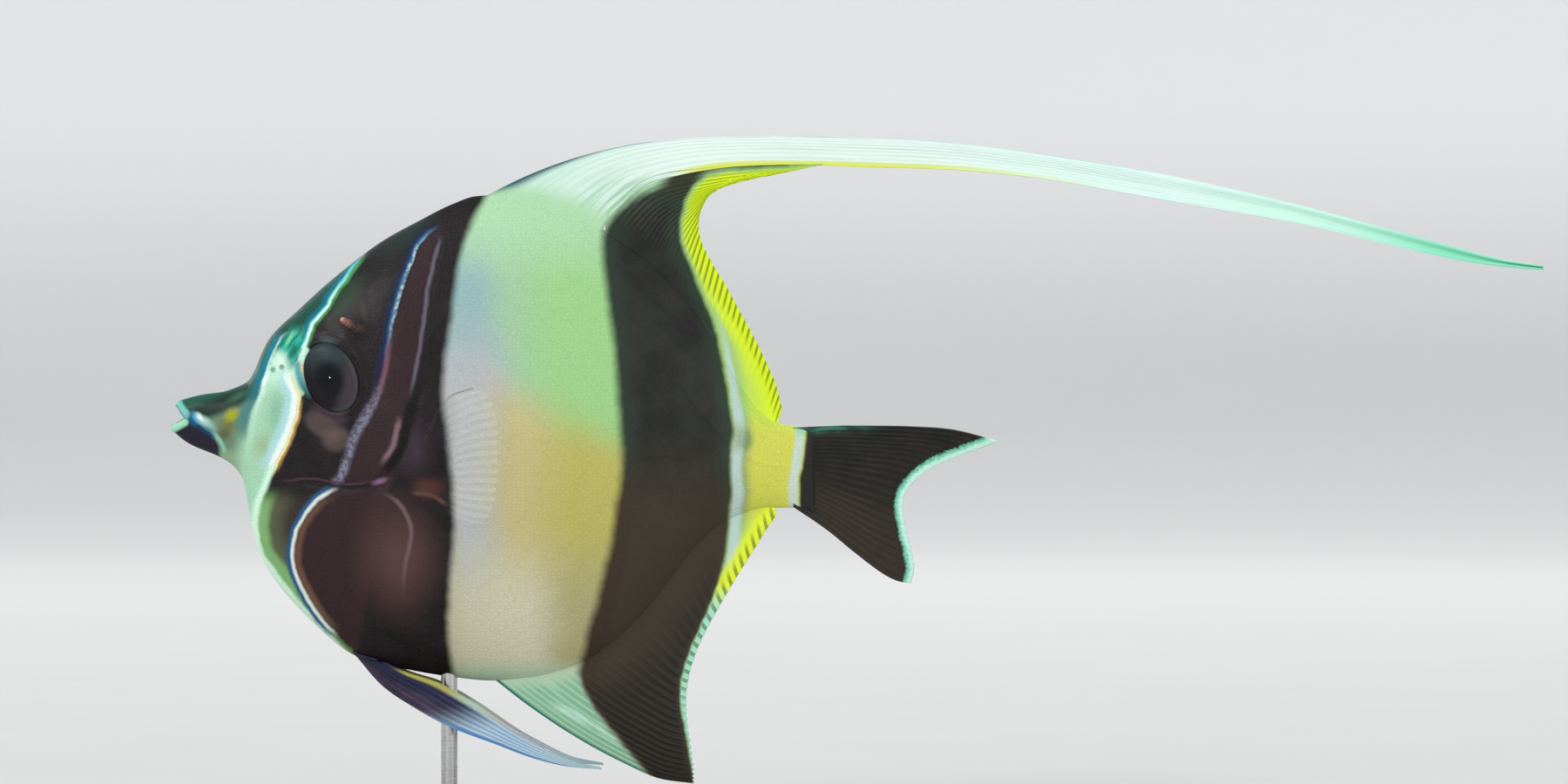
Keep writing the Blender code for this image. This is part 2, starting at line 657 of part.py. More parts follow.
def make_banner():
    """The front of the dorsal fin, drawn out into the long white streamer, in three lengths."""
    first_x, last_x = BANNER_ROOT_X

    def root(u):
        return rim(first_x + u * (last_x - first_x), True)

    top = path([tuple(root(0.0))] + BANNER_TOP)
    foot = path([tuple(root(1.0))] + BANNER_FOOT)
    tip = path([BANNER_TOP[-1], BANNER_FOOT[-1]])
    surface = upright(patch(root, tip, top, foot, 1.0))
    for name, start, end, rows in BANNER_LENGTHS:
        span = (start + BANNER_JOINT * (start > 0), end - BANNER_JOINT * (end < 1))
        fin(name, surface, BANNER_RAYS, rows, BANNER, span, scalloped=False)


def make_dorsal():
    """The soft hind part of the dorsal fin, whose first ray runs out under the streamer."""
    start, end = DORSAL_ROOT_X

    def root(u):
        return rim(start + u * (end - start), True)

    line = path(DORSAL_EDGE)

    def edge(u):
        return line(u + DORSAL_RAY_SHIFT * math.sin(math.pi * u))

    first = path([tuple(root(0.0))] + DORSAL_FIRST_RAY + [DORSAL_EDGE[0]])
    last = path([tuple(root(1.0)), DORSAL_EDGE[-1]])
    fin("dorsal_fin", upright(patch(root, edge, first, last, 3.0)), DORSAL_RAYS, 6, YELLOW)


def make_anal():
    """The anal fin, whose front rays sweep down and back to its tip."""
    start, end = ANAL_ROOT_X

    def root(u):
        return rim(start + u * (end - start), False)

    line = path(ANAL_EDGE)

    def edge(u):
        return line(u**ANAL_RAY_CROWDING)

    first = path([tuple(root(0.0))] + ANAL_FIRST_RAY + [ANAL_EDGE[0]])
    last = path([tuple(root(1.0)), ANAL_EDGE[-1]])
    fin("anal_fin", upright(patch(root, edge, first, last, 2.0)), ANAL_RAYS, 7, DARK)


def make_tail_fin():
    """The tail fin, swung to the right at its lower lobe."""
    top, foot = TAIL_ROOT_Z
    root_x = TAIL_BASE_X + GAP

    def root(u):
        return np.array([root_x, top + u * (foot - top)])

    first = path([tuple(root(0.0))] + TAIL_TOP_EDGE + [TAIL_EDGE[0]])
    last = path([tuple(root(1.0))] + TAIL_FOOT_EDGE + [TAIL_EDGE[-1]])
    flat = patch(root, path(TAIL_EDGE), first, last, 1.0)

    def surface(u, v):
        x, z = flat(u, v)
        aft = (x - root_x) / (TAIL_EDGE[-1][0] - root_x)
        return (x, swim(x) + TAIL_TWIST * aft * z / TAIL_EDGE[-1][1], z)

    fin("tail_fin", surface, TAIL_RAYS, 7, DARK)


def make_pelvic(side, label):
    """A pelvic fin: a long narrow blade that trails back under the belly."""
    front = path([PELVIC_ROOT[0]] + PELVIC_FRONT + [PELVIC_TIP])
    rear = path([PELVIC_ROOT[1]] + PELVIC_REAR + [PELVIC_TIP_REAR])
    root = path(PELVIC_ROOT)
    tip = path([PELVIC_TIP, PELVIC_TIP_REAR])
    flat = patch(root, tip, front, rear, 1.0)

    def surface(u, v):
        x, z = flat(u, v)
        return (x, side * (PELVIC_ROOT_Y + PELVIC_SPREAD * v + PELVIC_CANT * u * (1 - v)), z)

    fin("pelvic_fin_" + label, surface, PELVIC_RAYS, 12, DARK, scalloped=False)


def make_pectoral(side, label):
    """A pectoral fin: a clear fan behind the gill cover that stands off the flank."""
    root = path(PECTORAL_ROOT)
    first = path([PECTORAL_ROOT[0]] + PECTORAL_TOP_RAY + [PECTORAL_EDGE[0]])
    last = path([PECTORAL_ROOT[1]] + PECTORAL_FOOT_RAY + [PECTORAL_EDGE[-1]])
    flat = patch(root, path(PECTORAL_EDGE), first, last, 1.0)

    def surface(u, v):
        x, z = flat(u, v)
        root_x, root_z = root(u)
        off = flank_y(root_x, root_z) + GAP + MEMBRANE
        return (x, side * (off + PECTORAL_SPREAD * (x - root_x)), z)

    fin("pectoral_fin_" + label, surface, PECTORAL_RAYS, 5, CLEAR)


def rod_shape(name, radius, low, high, finish=None):
    """An upright rod on the sheet, under the belly."""
    shape = bmesh.new()
    size = {"radius1": radius, "radius2": radius, "depth": high - low}
    bmesh.ops.create_cone(shape, cap_ends=True, segments=ROD_SIDES, **size)
    bmesh.ops.translate(shape, verts=shape.verts[:], vec=(ROD_X, 0.0, (low + high) / 2))
    return make_object(name, shape, finish)


def make_stand():
    """An oval wooden base and the steel rod that holds the fish clear of it."""
    shape = bmesh.new()
    bmesh.ops.create_cone(shape, cap_ends=True, segments=BASE_SIDES, radius1=0.5, radius2=0.5, depth=1.0)
    size = (BASE_LENGTH / UNIT, BASE_WIDTH / UNIT, BASE_HEIGHT / UNIT)
    bmesh.ops.scale(shape, verts=shape.verts[:], vec=size)
    bmesh.ops.translate(shape, verts=shape.verts[:], vec=(BASE_CENTRE_X, 0.0, (FLOOR_Z + BASE_TOP_Z) / 2))
    middle_z = (FLOOR_Z + BASE_TOP_Z) / 2
    top = [edge for edge in shape.edges if all(vert.co.z > middle_z for vert in edge.verts)]
    bmesh.ops.bevel(shape, geom=top, offset=BASE_EDGE_BEVEL / UNIT, segments=3, affect="EDGES", profile=0.5)
    base = make_object("stand_base", shape, WOOD)
    radius = ROD_DIAMETER / 2 / UNIT
    foot = BASE_TOP_Z - ROD_IN_BASE
    above_base = BASE_TOP_Z + FIN_CLEARANCE
    combine(base, [rod_shape("base_socket", radius + GAP, foot - GAP, above_base)], "DIFFERENCE")
    rod_shape("stand_rod", radius, foot, belly_z(ROD_X) + ROD_IN_BODY - GAP, STEEL)


def main():
    """Builds the fish and its stand."""
    for thing in list(bpy.data.objects):
        bpy.data.objects.remove(thing)
    make_head()
    make_trunk()
    make_banner()
    make_dorsal()
    make_anal()
    make_tail_fin()
    for side, label in ((-1, "left"), (1, "right")):
        make_pelvic(side, label)
        make_pectoral(side, label)
    make_stand()


main()
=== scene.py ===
# %% [markdown]
# # A moorish idol on a museum stand
# This lesson dresses the solids of a moorish idol, a flat, disc-shaped reef fish with a long white
# streamer. The solids are loaded first and never moved. Every soft piece is then made again as a fine
# mesh in the same place, and painted with nodes.

# %% Load the solids
import math

import bmesh
import bpy
import numpy as np
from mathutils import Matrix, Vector


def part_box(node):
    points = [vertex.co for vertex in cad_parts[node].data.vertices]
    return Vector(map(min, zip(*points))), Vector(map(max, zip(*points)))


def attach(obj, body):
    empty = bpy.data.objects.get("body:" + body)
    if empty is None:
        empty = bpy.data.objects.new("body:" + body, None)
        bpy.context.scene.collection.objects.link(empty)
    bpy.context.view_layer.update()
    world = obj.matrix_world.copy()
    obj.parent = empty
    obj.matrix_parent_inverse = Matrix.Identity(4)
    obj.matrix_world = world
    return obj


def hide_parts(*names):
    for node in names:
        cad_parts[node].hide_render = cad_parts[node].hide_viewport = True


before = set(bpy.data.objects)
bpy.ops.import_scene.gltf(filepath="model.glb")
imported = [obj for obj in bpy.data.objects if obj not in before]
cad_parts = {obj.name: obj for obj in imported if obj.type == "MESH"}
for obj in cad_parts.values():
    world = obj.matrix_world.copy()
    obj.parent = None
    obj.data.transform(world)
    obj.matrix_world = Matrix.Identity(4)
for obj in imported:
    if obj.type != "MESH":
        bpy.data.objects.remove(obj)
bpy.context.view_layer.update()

print("solids:", len(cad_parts), "nodes")

# %% [markdown]
# ## One drawing sheet for everything
# A fish this flat is easiest to draw on a sheet of paper: x runs from the snout to the tail, z runs up,
# both in millimetres, and y is the distance from the middle plane. One function turns places on the
# sheet into places in the scene, so no other line has to think about metres.

# %% Place the sheet in the scene
MILLIMETRE = 0.001
SHEET_X, SHEET_FLOOR = 70.0, -84.2


def in_scene(places):
    """Places on the sheet, in millimetres, as places in the scene, in metres."""
    return (np.asarray(places, float) - (SHEET_X, 0.0, SHEET_FLOOR)) * MILLIMETRE


low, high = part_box("head")
print("head solid on the sheet starts at x =", round(low.x / MILLIMETRE + SHEET_X, 1))

# %% [markdown]
# ## Smooth curves through a few points
# Outlines are given by a few points each. A cubic Hermite curve joins them: it passes through every
# point and leaves it with a chosen slope. Working on whole arrays at once keeps it quick enough for
# meshes with a hundred thousand corners. A graph is a height over x. A path is a free line that may turn
# back on itself.

# %% Curves


def hermite(knots, values, slopes):
    """The smooth curve through values at the knots that leaves each with its slope."""

    def at(where):
        where = np.asarray(where, float)
        i = np.clip(np.searchsorted(knots, where) - 1, 0, len(knots) - 2)
        span = knots[i + 1] - knots[i]
        t = np.clip((where - knots[i]) / span, 0.0, 1.0)
        if values.ndim == 2:
            span, t = span[..., None], t[..., None]
        start = (1 + 2 * t) * (1 - t) ** 2 * values[i] + t * (1 - t) ** 2 * span * slopes[i]
        end = t * t * (3 - 2 * t) * values[i + 1] + t * t * (t - 1) * span * slopes[i + 1]
        return start + end

    return at


def graph(points):
    """A curve z(x) through the points that doesn't overshoot between them."""
    xs, zs = np.array(points, float).T
    rise = np.diff(zs) / np.diff(xs)
    slopes = np.concatenate([[rise[0]], np.zeros(len(xs) - 2), [rise[-1]]])
    for i in range(1, len(xs) - 1):
        if rise[i - 1] * rise[i] > 0:
            slopes[i] = 2 * rise[i - 1] * rise[i] / (rise[i - 1] + rise[i])
    return hermite(xs, zs, slopes)


def path(points):
    """A smooth line through the points, as a function of the share of its length from 0 to 1."""
    places = np.array(points, float)
    run = np.concatenate([[0.0], np.cumsum(np.linalg.norm(np.diff(places, axis=0), axis=1))])
    share = run / run[-1]
    inner = (places[2:] - places[:-2]) / (share[2:] - share[:-2])[:, None]
    first = (places[1] - places[0]) / (share[1] - share[0])
    last = (places[-1] - places[-2]) / (share[-1] - share[-2])
    return hermite(share, places, np.concatenate([[first], inner, [last]]))


print("half way along a path over a hill:", path([(0, 0), (1, 1), (2, 0)])(0.5).round(2))

# %% [markdown]
# ## The body's form
# Seen from the side the body is a disc with a pointed snout. Seen from the front it is a thin lens. Four
# graphs say all of that: the back, the belly, the half width, and the height at which it is widest. The
# sharpness says how keen the edge of the lens is at the back and the belly, where the fins stand on it.

# %% Outlines of the body
BACK = [
    (-0.6, 8.7), (-0.2, 11.6), (0.8, 13.9), (2.9, 14.8), (6.7, 15.7), (10.5, 16.2), (13.3, 17.1),
    (16.2, 18.6), (18.0, 21.8), (19.4, 25.3), (21.3, 28.5), (26.6, 33.6), (34.2, 40.5), (45.6, 49.2),
    (53.2, 53.4), (60.8, 57.2), (66.0, 58.9), (72.2, 59.2), (83.6, 56.4), (93.7, 51.5), (101.7, 46.5),
    (109.3, 39.9), (115.0, 32.3), (119.7, 24.7), (123.5, 18.1), (127.3, 12.6), (131.1, 9.6), (136.0, 8.6),
    (139.6, 8.3),
]
BELLY = [
    (-0.6, 8.1), (0.9, 6.6), (3.4, 4.8), (10.5, 1.7), (13.3, -0.3), (15.2, -3.4), (16.0, -7.8),
    (16.8, -12.4), (19.0, -19.6), (22.4, -25.4), (27.6, -31.4), (33.3, -36.9), (38.0, -40.5),
    (43.7, -42.7), (60.8, -46.0), (69.4, -46.8), (77.9, -46.3), (87.4, -43.9), (95.0, -39.6),
    (101.7, -33.3), (107.4, -26.2), (112.1, -20.0), (116.9, -14.8), (122.6, -11.2), (129.2, -9.2),
    (136.0, -9.1), (139.6, -10.2),
]
HALF_WIDTH = [
    (-0.6, 0.5), (0.3, 1.4), (1.6, 2.0), (4.0, 2.4), (8.0, 2.9), (13.0, 3.9), (18.0, 5.3), (23.0, 6.9),
    (28.0, 8.1), (34.0, 9.1), (42.0, 10.4), (50.0, 11.4), (58.0, 11.7), (67.0, 11.3), (80.0, 9.9),
    (95.0, 8.0), (110.0, 5.6), (122.0, 3.7), (130.0, 2.6), (136.0, 1.8), (138.4, 1.1), (139.3, 0.6),
    (139.6, 0.3),
]
WIDEST_Z = [
    (-0.6, 8.4), (3.0, 10.2), (12.0, 10.0), (22.0, 13.0), (34.0, 17.0), (46.0, 12.0), (60.0, 5.0),
    (136.0, -0.3),
]
BACK_SHARPNESS = [(0.0, 0.95), (20.0, 1.0), (45.0, 1.15), (66.0, 1.55), (115.0, 1.65), (136.0, 1.0)]
BELLY_SHARPNESS = [(0.0, 0.9), (40.0, 1.0), (64.0, 1.1), (78.0, 1.55), (115.0, 1.65), (136.0, 1.0)]
BEND_START_X, BEND_AT_TAIL_TIP, FISH_LENGTH = 100.0, 2.2, 180.0

back_z = graph(BACK)
belly_z = graph(BELLY)
half_width = graph(HALF_WIDTH)
widest_z = graph(WIDEST_Z)
back_sharpness = graph(BACK_SHARPNESS)
belly_sharpness = graph(BELLY_SHARPNESS)


def swim(x):
    """Sideways bend of the swimming fish at a point x along it."""
    return BEND_AT_TAIL_TIP * (np.maximum(0.0, x - BEND_START_X) / (FISH_LENGTH - BEND_START_X)) ** 2


def section(x):
    """Middle height, rise to the back, drop to the belly and half width of the body at x."""
    back, belly = back_z(x), belly_z(x)
    middle = np.minimum(np.maximum(widest_z(x), belly + 0.2), back - 0.2)
    return middle, back - middle, middle - belly, half_width(x)


def flank_y(x, z):
    """Half width of the body at a place on its side."""
    middle, rise, drop, width = section(x)
    share = (z - middle) / np.where(z > middle, rise, drop)
    sharpness = np.where(z > middle, back_sharpness(x), belly_sharpness(x))
    return width * np.maximum(0.0, 1 - share * share) ** (sharpness / 2)


def skin_point(x, angle):
    """The body's surface at x and an angle round it, from the belly over the right side to the back."""
    middle, rise, drop, width = section(x)
    up, out = np.sin(angle), np.cos(angle)
    sharpness = np.where(up > 0, back_sharpness(x), belly_sharpness(x))
    z = middle + np.where(up > 0, rise, drop) * up
    return np.stack([x, np.sign(out) * width * np.abs(out) ** sharpness, z], axis=-1)


VIEW_CENTRE, VIEW_DISTANCE = (133.0, 16.15), 1045.0  # what the camera looks at, and from how far


def drawn_back(points):
    """Places as the camera sees them, moved to where they lie on the flank, which stands nearer to it."""
    places = np.array(points, float)
    return places + (VIEW_CENTRE - places) * flank_y(*places.T)[:, None] / VIEW_DISTANCE


def flank_frame(x, z, side):
    """A place on the flank (side -1 is the left) and the outward, backward and upward directions there."""
    step = 0.5
    slope_x = float(flank_y(x + step, z) - flank_y(x - step, z)) / (2 * step)
    slope_z = float(flank_y(x, z + step) - flank_y(x, z - step)) / (2 * step)
    outward = Vector((-slope_x, side, -slope_z)).normalized()
    aft = Vector((1.0, side * slope_x, 0.0)).normalized()
    return Vector((x, side * float(flank_y(x, z)), z)), outward, aft, outward.cross(aft) * -side


print("body depth", float(back_z(72.2) - belly_z(69.4)), "mm, width", 2 * max(w for _, w in HALF_WIDTH), "mm")

# %% [markdown]
# ## Moving corners in bulk
# A bmesh is handy for operators such as grid, extrude or fill, and slow for moving a hundred thousand
# corners one by one. So each piece starts as a flat net in a bmesh, is written to a mesh, and its
# corners are then read, moved and written back as one numpy array.

# %% Read and write corners
SIDES = (("left", -1), ("right", 1))


def read_corners(mesh, what="co"):
    """The places or the normals of a mesh's corners, one row each."""
    values = np.empty(len(mesh.vertices) * 3, np.float32)
    mesh.vertices.foreach_get(what, values)
    return values.reshape(-1, 3).astype(float)


def write_corners(mesh, places):
    """Moves all the corners of a mesh."""
    mesh.vertices.foreach_set("co", places.astype(np.float32).ravel())
    mesh.update()


def note(mesh, name, values):
    """Keeps a number with each corner, which a material can read by name."""
    kept = mesh.attributes.new(name, "FLOAT", "POINT")
    kept.data.foreach_set("value", np.asarray(values, np.float32))


def face_outwards(shape):
    """Turns every face of a closed shape outwards."""
    shape.normal_update()
    bmesh.ops.recalc_face_normals(shape, faces=shape.faces[:])


def as_mesh(shape, name):
    """Writes a bmesh to a new mesh and lets go of it."""
    mesh = bpy.data.meshes.new(name)
    shape.to_mesh(mesh)
    shape.free()
    return mesh


def turn_outwards(mesh):
    """Turns every face of a closed mesh outwards."""
    shape = bmesh.new()
    shape.from_mesh(mesh)
    face_outwards(shape)
    shape.to_mesh(mesh)
    shape.free()


def turned(profile, closed, steps):
    """The round form that a profile of radii and heights makes when it is turned on a lathe."""
    shape = bmesh.new()
    corners = [shape.verts.new((reach, 0.0, height)) for reach, height in profile]
    edges = [shape.edges.new(pair) for pair in zip(corners, corners[1:] + corners[:closed])]
    settings = {"cent": (0, 0, 0), "axis": (0, 0, 1), "angle": math.tau, "steps": steps}
    bmesh.ops.spin(shape, geom=corners + edges, use_merge=True, **settings)
    bmesh.ops.remove_doubles(shape, verts=shape.verts[:], dist=1e-5)
    return shape


def show(name, mesh, finish, replaced):
    """Puts a finished mesh, drawn on the sheet, into the scene in place of the solids it stands for."""
    write_corners(mesh, in_scene(read_corners(mesh)))
    mesh.shade_smooth()
    piece = bpy.data.objects.new(name, mesh)
    bpy.context.scene.collection.objects.link(piece)
    mesh.materials.append(finish.material)
    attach(piece, "root")
    if replaced:
        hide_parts(*replaced)
    print(f"{name}: {sum(len(face.vertices) - 2 for face in mesh.polygons)} triangles")
    return piece


# %% [markdown]
# ## Lines drawn on the fish
# A moorish idol's pattern is made of bands and thin lines with true edges. They could be painted in an
# image, but an image has pixels and needs an unwrap. Here each edge is a line of a few points on the
# sheet, and every corner of the mesh keeps its signed distance from that line: below zero ahead of the
# line, above zero behind it. A material turns such a distance into an edge of any softness, and into a
# line of any width. The lines run from the top down, and the level ones backwards. They are given as the
# camera sees them, so they are moved back to where they lie on the bulging flank before they are measured.

# %% The edges and lines of the pattern
LINES = {
    "brow": [
        (42.6, 47.5), (39.4, 43.8), (37.6, 41.2), (35.8, 39.0), (34.4, 36.9), (33.3, 34.6), (31.6, 32.7),
        (30.3, 31.2), (29.5, 29.2), (28.8, 27.2), (28.0, 25.4),
    ],
    "face_front": [
        (25.4, 31.0), (24.9, 29.7), (23.5, 28.0), (22.4, 25.9), (21.3, 23.9), (20.5, 21.7), (19.6, 19.0),
        (18.7, 15.5), (17.3, 12.0), (16.5, 9.0), (16.0, 5.9), (15.2, 1.0),
    ],
    "face_rear": [
        (24.4, 22.4), (24.9, 20.8), (25.7, 18.6), (26.6, 16.6), (27.1, 15.0), (26.9, 12.8), (26.2, 10.0),
        (25.2, 7.0), (23.9, 4.1), (22.6, 1.4), (21.7, -0.9), (21.0, -2.6), (20.0, -5.4), (19.0, -7.6),
        (18.3, -10.3), (18.2, -13.4), (18.7, -16.6), (19.6, -19.4), (23.3, -24.4), (28.0, -30.3),
        (33.6, -36.2), (38.0, -40.5),
    ],
    "eye_strip": [
        (26.6, 23.4), (26.9, 21.8), (27.4, 19.7), (28.2, 17.5), (29.3, 15.7), (31.0, 14.4),
    ],
    "cheek": [
        (60.6, 55.5), (58.0, 52.6), (55.1, 50.4), (53.2, 48.1), (52.1, 45.4), (50.5, 41.6), (49.4, 38.0),
        (48.3, 34.2), (47.5, 31.0), (46.7, 26.6), (46.0, 22.8), (45.0, 18.1), (43.6, 14.3), (41.8, 11.0),
        (39.9, 7.6), (38.4, 3.8), (37.2, 0.0), (36.1, -2.6), (34.0, -4.4),
    ],
    "shoulder": [
        (58.9, 52.6), (58.0, 49.4), (56.6, 44.7), (55.1, 37.1), (54.2, 30.4), (53.2, 23.8), (52.1, 18.1),
        (50.9, 12.6),
    ],
    "gill": [
        (52.4, 15.0), (51.3, 11.4), (50.6, 7.6), (49.3, 3.4), (46.9, -0.4), (44.7, -3.0),
    ],
    "breast": [
        (36.4, -4.7), (34.2, -5.5), (31.4, -7.2), (28.9, -10.1), (27.0, -13.3), (26.0, -17.1),
        (25.9, -20.9), (26.8, -24.4), (28.5, -27.9), (30.8, -31.7), (33.3, -34.8), (36.2, -37.6),
    ],
    "pectoral_seam": [
        (42.8, -4.6), (46.6, -6.3), (49.8, -9.1), (51.3, -12.4), (51.7, -15.2), (50.9, -19.0),
        (50.2, -23.8), (50.0, -28.5), (50.4, -32.3), (52.3, -41.8),
    ],
    "band_1_rear": [
        (68.4, 60.6), (67.5, 58.3), (65.6, 55.1), (63.6, 50.4), (61.9, 44.7), (61.0, 39.0), (60.0, 31.4),
        (59.0, 25.0), (58.5, 19.0), (58.4, 13.5), (59.2, 8.0), (59.8, 2.0), (60.5, -4.0), (60.8, -11.0),
        (60.6, -17.0), (59.9, -24.0), (59.6, -31.0), (59.5, -36.0), (60.0, -41.0), (60.8, -46.6),
    ],
    "band_2_front": [
        (123.5, 65.0), (114.0, 63.1), (106.4, 60.8), (101.7, 58.9), (97.6, 56.1), (94.9, 53.2),
        (93.6, 49.5), (93.8, 44.7), (94.6, 38.0), (95.3, 32.0), (96.3, 25.0), (96.8, 18.0), (97.2, 12.0),
        (97.6, 6.7), (97.9, 1.0), (97.3, -5.0), (96.3, -11.0), (95.5, -17.0), (94.0, -23.0), (92.5, -29.5),
        (90.6, -35.5), (89.4, -41.0), (88.4, -46.0), (90.0, -50.4), (93.0, -55.1), (96.9, -59.9),
        (101.6, -65.6), (103.6, -67.8),
    ],
    "band_2_rear": [
        (123.5, 65.0), (117.8, 64.4), (114.8, 63.0), (111.8, 59.5), (110.4, 55.0), (109.9, 51.0),
        (110.6, 47.5), (112.2, 43.6), (114.3, 38.4), (116.8, 32.6), (118.3, 27.6), (119.3, 22.5),
        (120.4, 16.5), (121.1, 12.0), (121.6, 7.8), (121.1, 3.5), (120.9, -1.0), (121.3, -5.5),
        (120.8, -10.0), (120.4, -16.0), (119.6, -21.0), (118.0, -27.0), (115.3, -33.5), (113.6, -37.3),
        (112.1, -40.9), (110.8, -45.0), (110.3, -49.0), (110.5, -53.0), (111.4, -58.0), (112.1, -62.5),
        (112.9, -66.6),
    ],
    "stalk_bar": [(136.5, 9.4), (136.3, 5.0), (135.7, 0.4), (135.0, -4.4), (135.2, -9.6)],
    "jaw": [(2.7, 10.2), (4.4, 9.3), (6.4, 8.0), (8.6, 6.2), (9.9, 4.2), (10.2, 2.4)],
    "chin_crease": [(22.0, -4.3), (30.0, -3.5), (35.0, -4.4), (40.0, -4.6), (45.6, -3.4)],
    "pectoral_lower": [(51.3, -5.7), (57.0, -6.7), (59.9, -8.9)],
}
LINES["dark_front"] = LINES["brow"][:6] + [
    (31.8, 32.7), (30.6, 31.2), (29.9, 29.2), (29.3, 27.4), (29.0, 25.8), (30.4, 24.6), (29.0, 23.6),
    (28.2, 22.0), (28.4, 19.8), (28.9, 17.6), (28.4, 15.9), (27.3, 14.8),
] + LINES["face_rear"][5:]
LINES = {name: drawn_back(points) for name, points in LINES.items()}
COARSE, FINE = 16, 110  # samples along a line, for corners far from it and near it
NEAR, REACH = 9.0, 60.0  # how near is near, and how far a line runs on straight past its ends


def measured(places, points, samples):
    """Signed distance from a line drawn with so many samples, and the share of its length beside a place."""
    route = path(points)(np.linspace(0.0, 1.0, samples))
    ahead = (route[0] - route[1]) / np.linalg.norm(route[0] - route[1])
    behind = (route[-1] - route[-2]) / np.linalg.norm(route[-1] - route[-2])
    corners = np.vstack([route[0] + ahead * REACH, route, route[-1] + behind * REACH])
    run = np.concatenate([[0.0], np.cumsum(np.linalg.norm(np.diff(corners, axis=0), axis=1))])
    share = (run - REACH) / (run[-1] - 2 * REACH)
    nearest = np.full(len(places), 1e9)
    field = np.zeros((len(places), 2))
    for i, (start, end) in enumerate(zip(corners[:-1], corners[1:])):
        way = end - start
        rest = places - start
        t = np.clip(rest @ way / (way @ way), 0.0, 1.0)
        distance = np.linalg.norm(rest - t[:, None] * way, axis=1)
        side = np.sign(way[0] * rest[:, 1] - way[1] * rest[:, 0])
        closer = distance < nearest
        nearest[closer] = distance[closer]
        field[closer, 0] = (distance * side)[closer]
        field[closer, 1] = (share[i] + t * (share[i + 1] - share[i]))[closer]
    return field


def line_field(places, points):
    """The same for a whole mesh: roughly everywhere, and then finely near the line."""
    field = measured(places, points, COARSE)
    near = np.abs(field[:, 0]) < NEAR
    field[near] = measured(places[near], points, FINE)
    return field


def note_lines(mesh, names):
    """Keeps the distances from the named lines with a mesh that is drawn on the sheet."""
    flat = read_corners(mesh)[:, [0, 2]]
    for name in names:
        distance, share = line_field(flat, LINES[name]).T
        note(mesh, "line_" + name, distance)
        note(mesh, "share_" + name, share)


print("pattern lines:", len(LINES))

# %% [markdown]
# ## A small kit for materials
# A Principled material is built from nodes, and most of the pattern needs the same few: read a distance,
# turn it into a soft step, lay one colour over another. The class below gives each of them a short name,
# so that a paint recipe reads like one. Colours are written as a screen shows them, from 0 to 255.

# %% The paint kit


def paint(red, green, blue):
    """A colour as a screen shows it, in the linear light that shaders use."""
    share = np.array([red, green, blue], float) / 255
    linear = np.where(share <= 0.04045, share / 12.92, ((share + 0.055) / 1.055) ** 2.4)
    return (*linear.tolist(), 1.0)


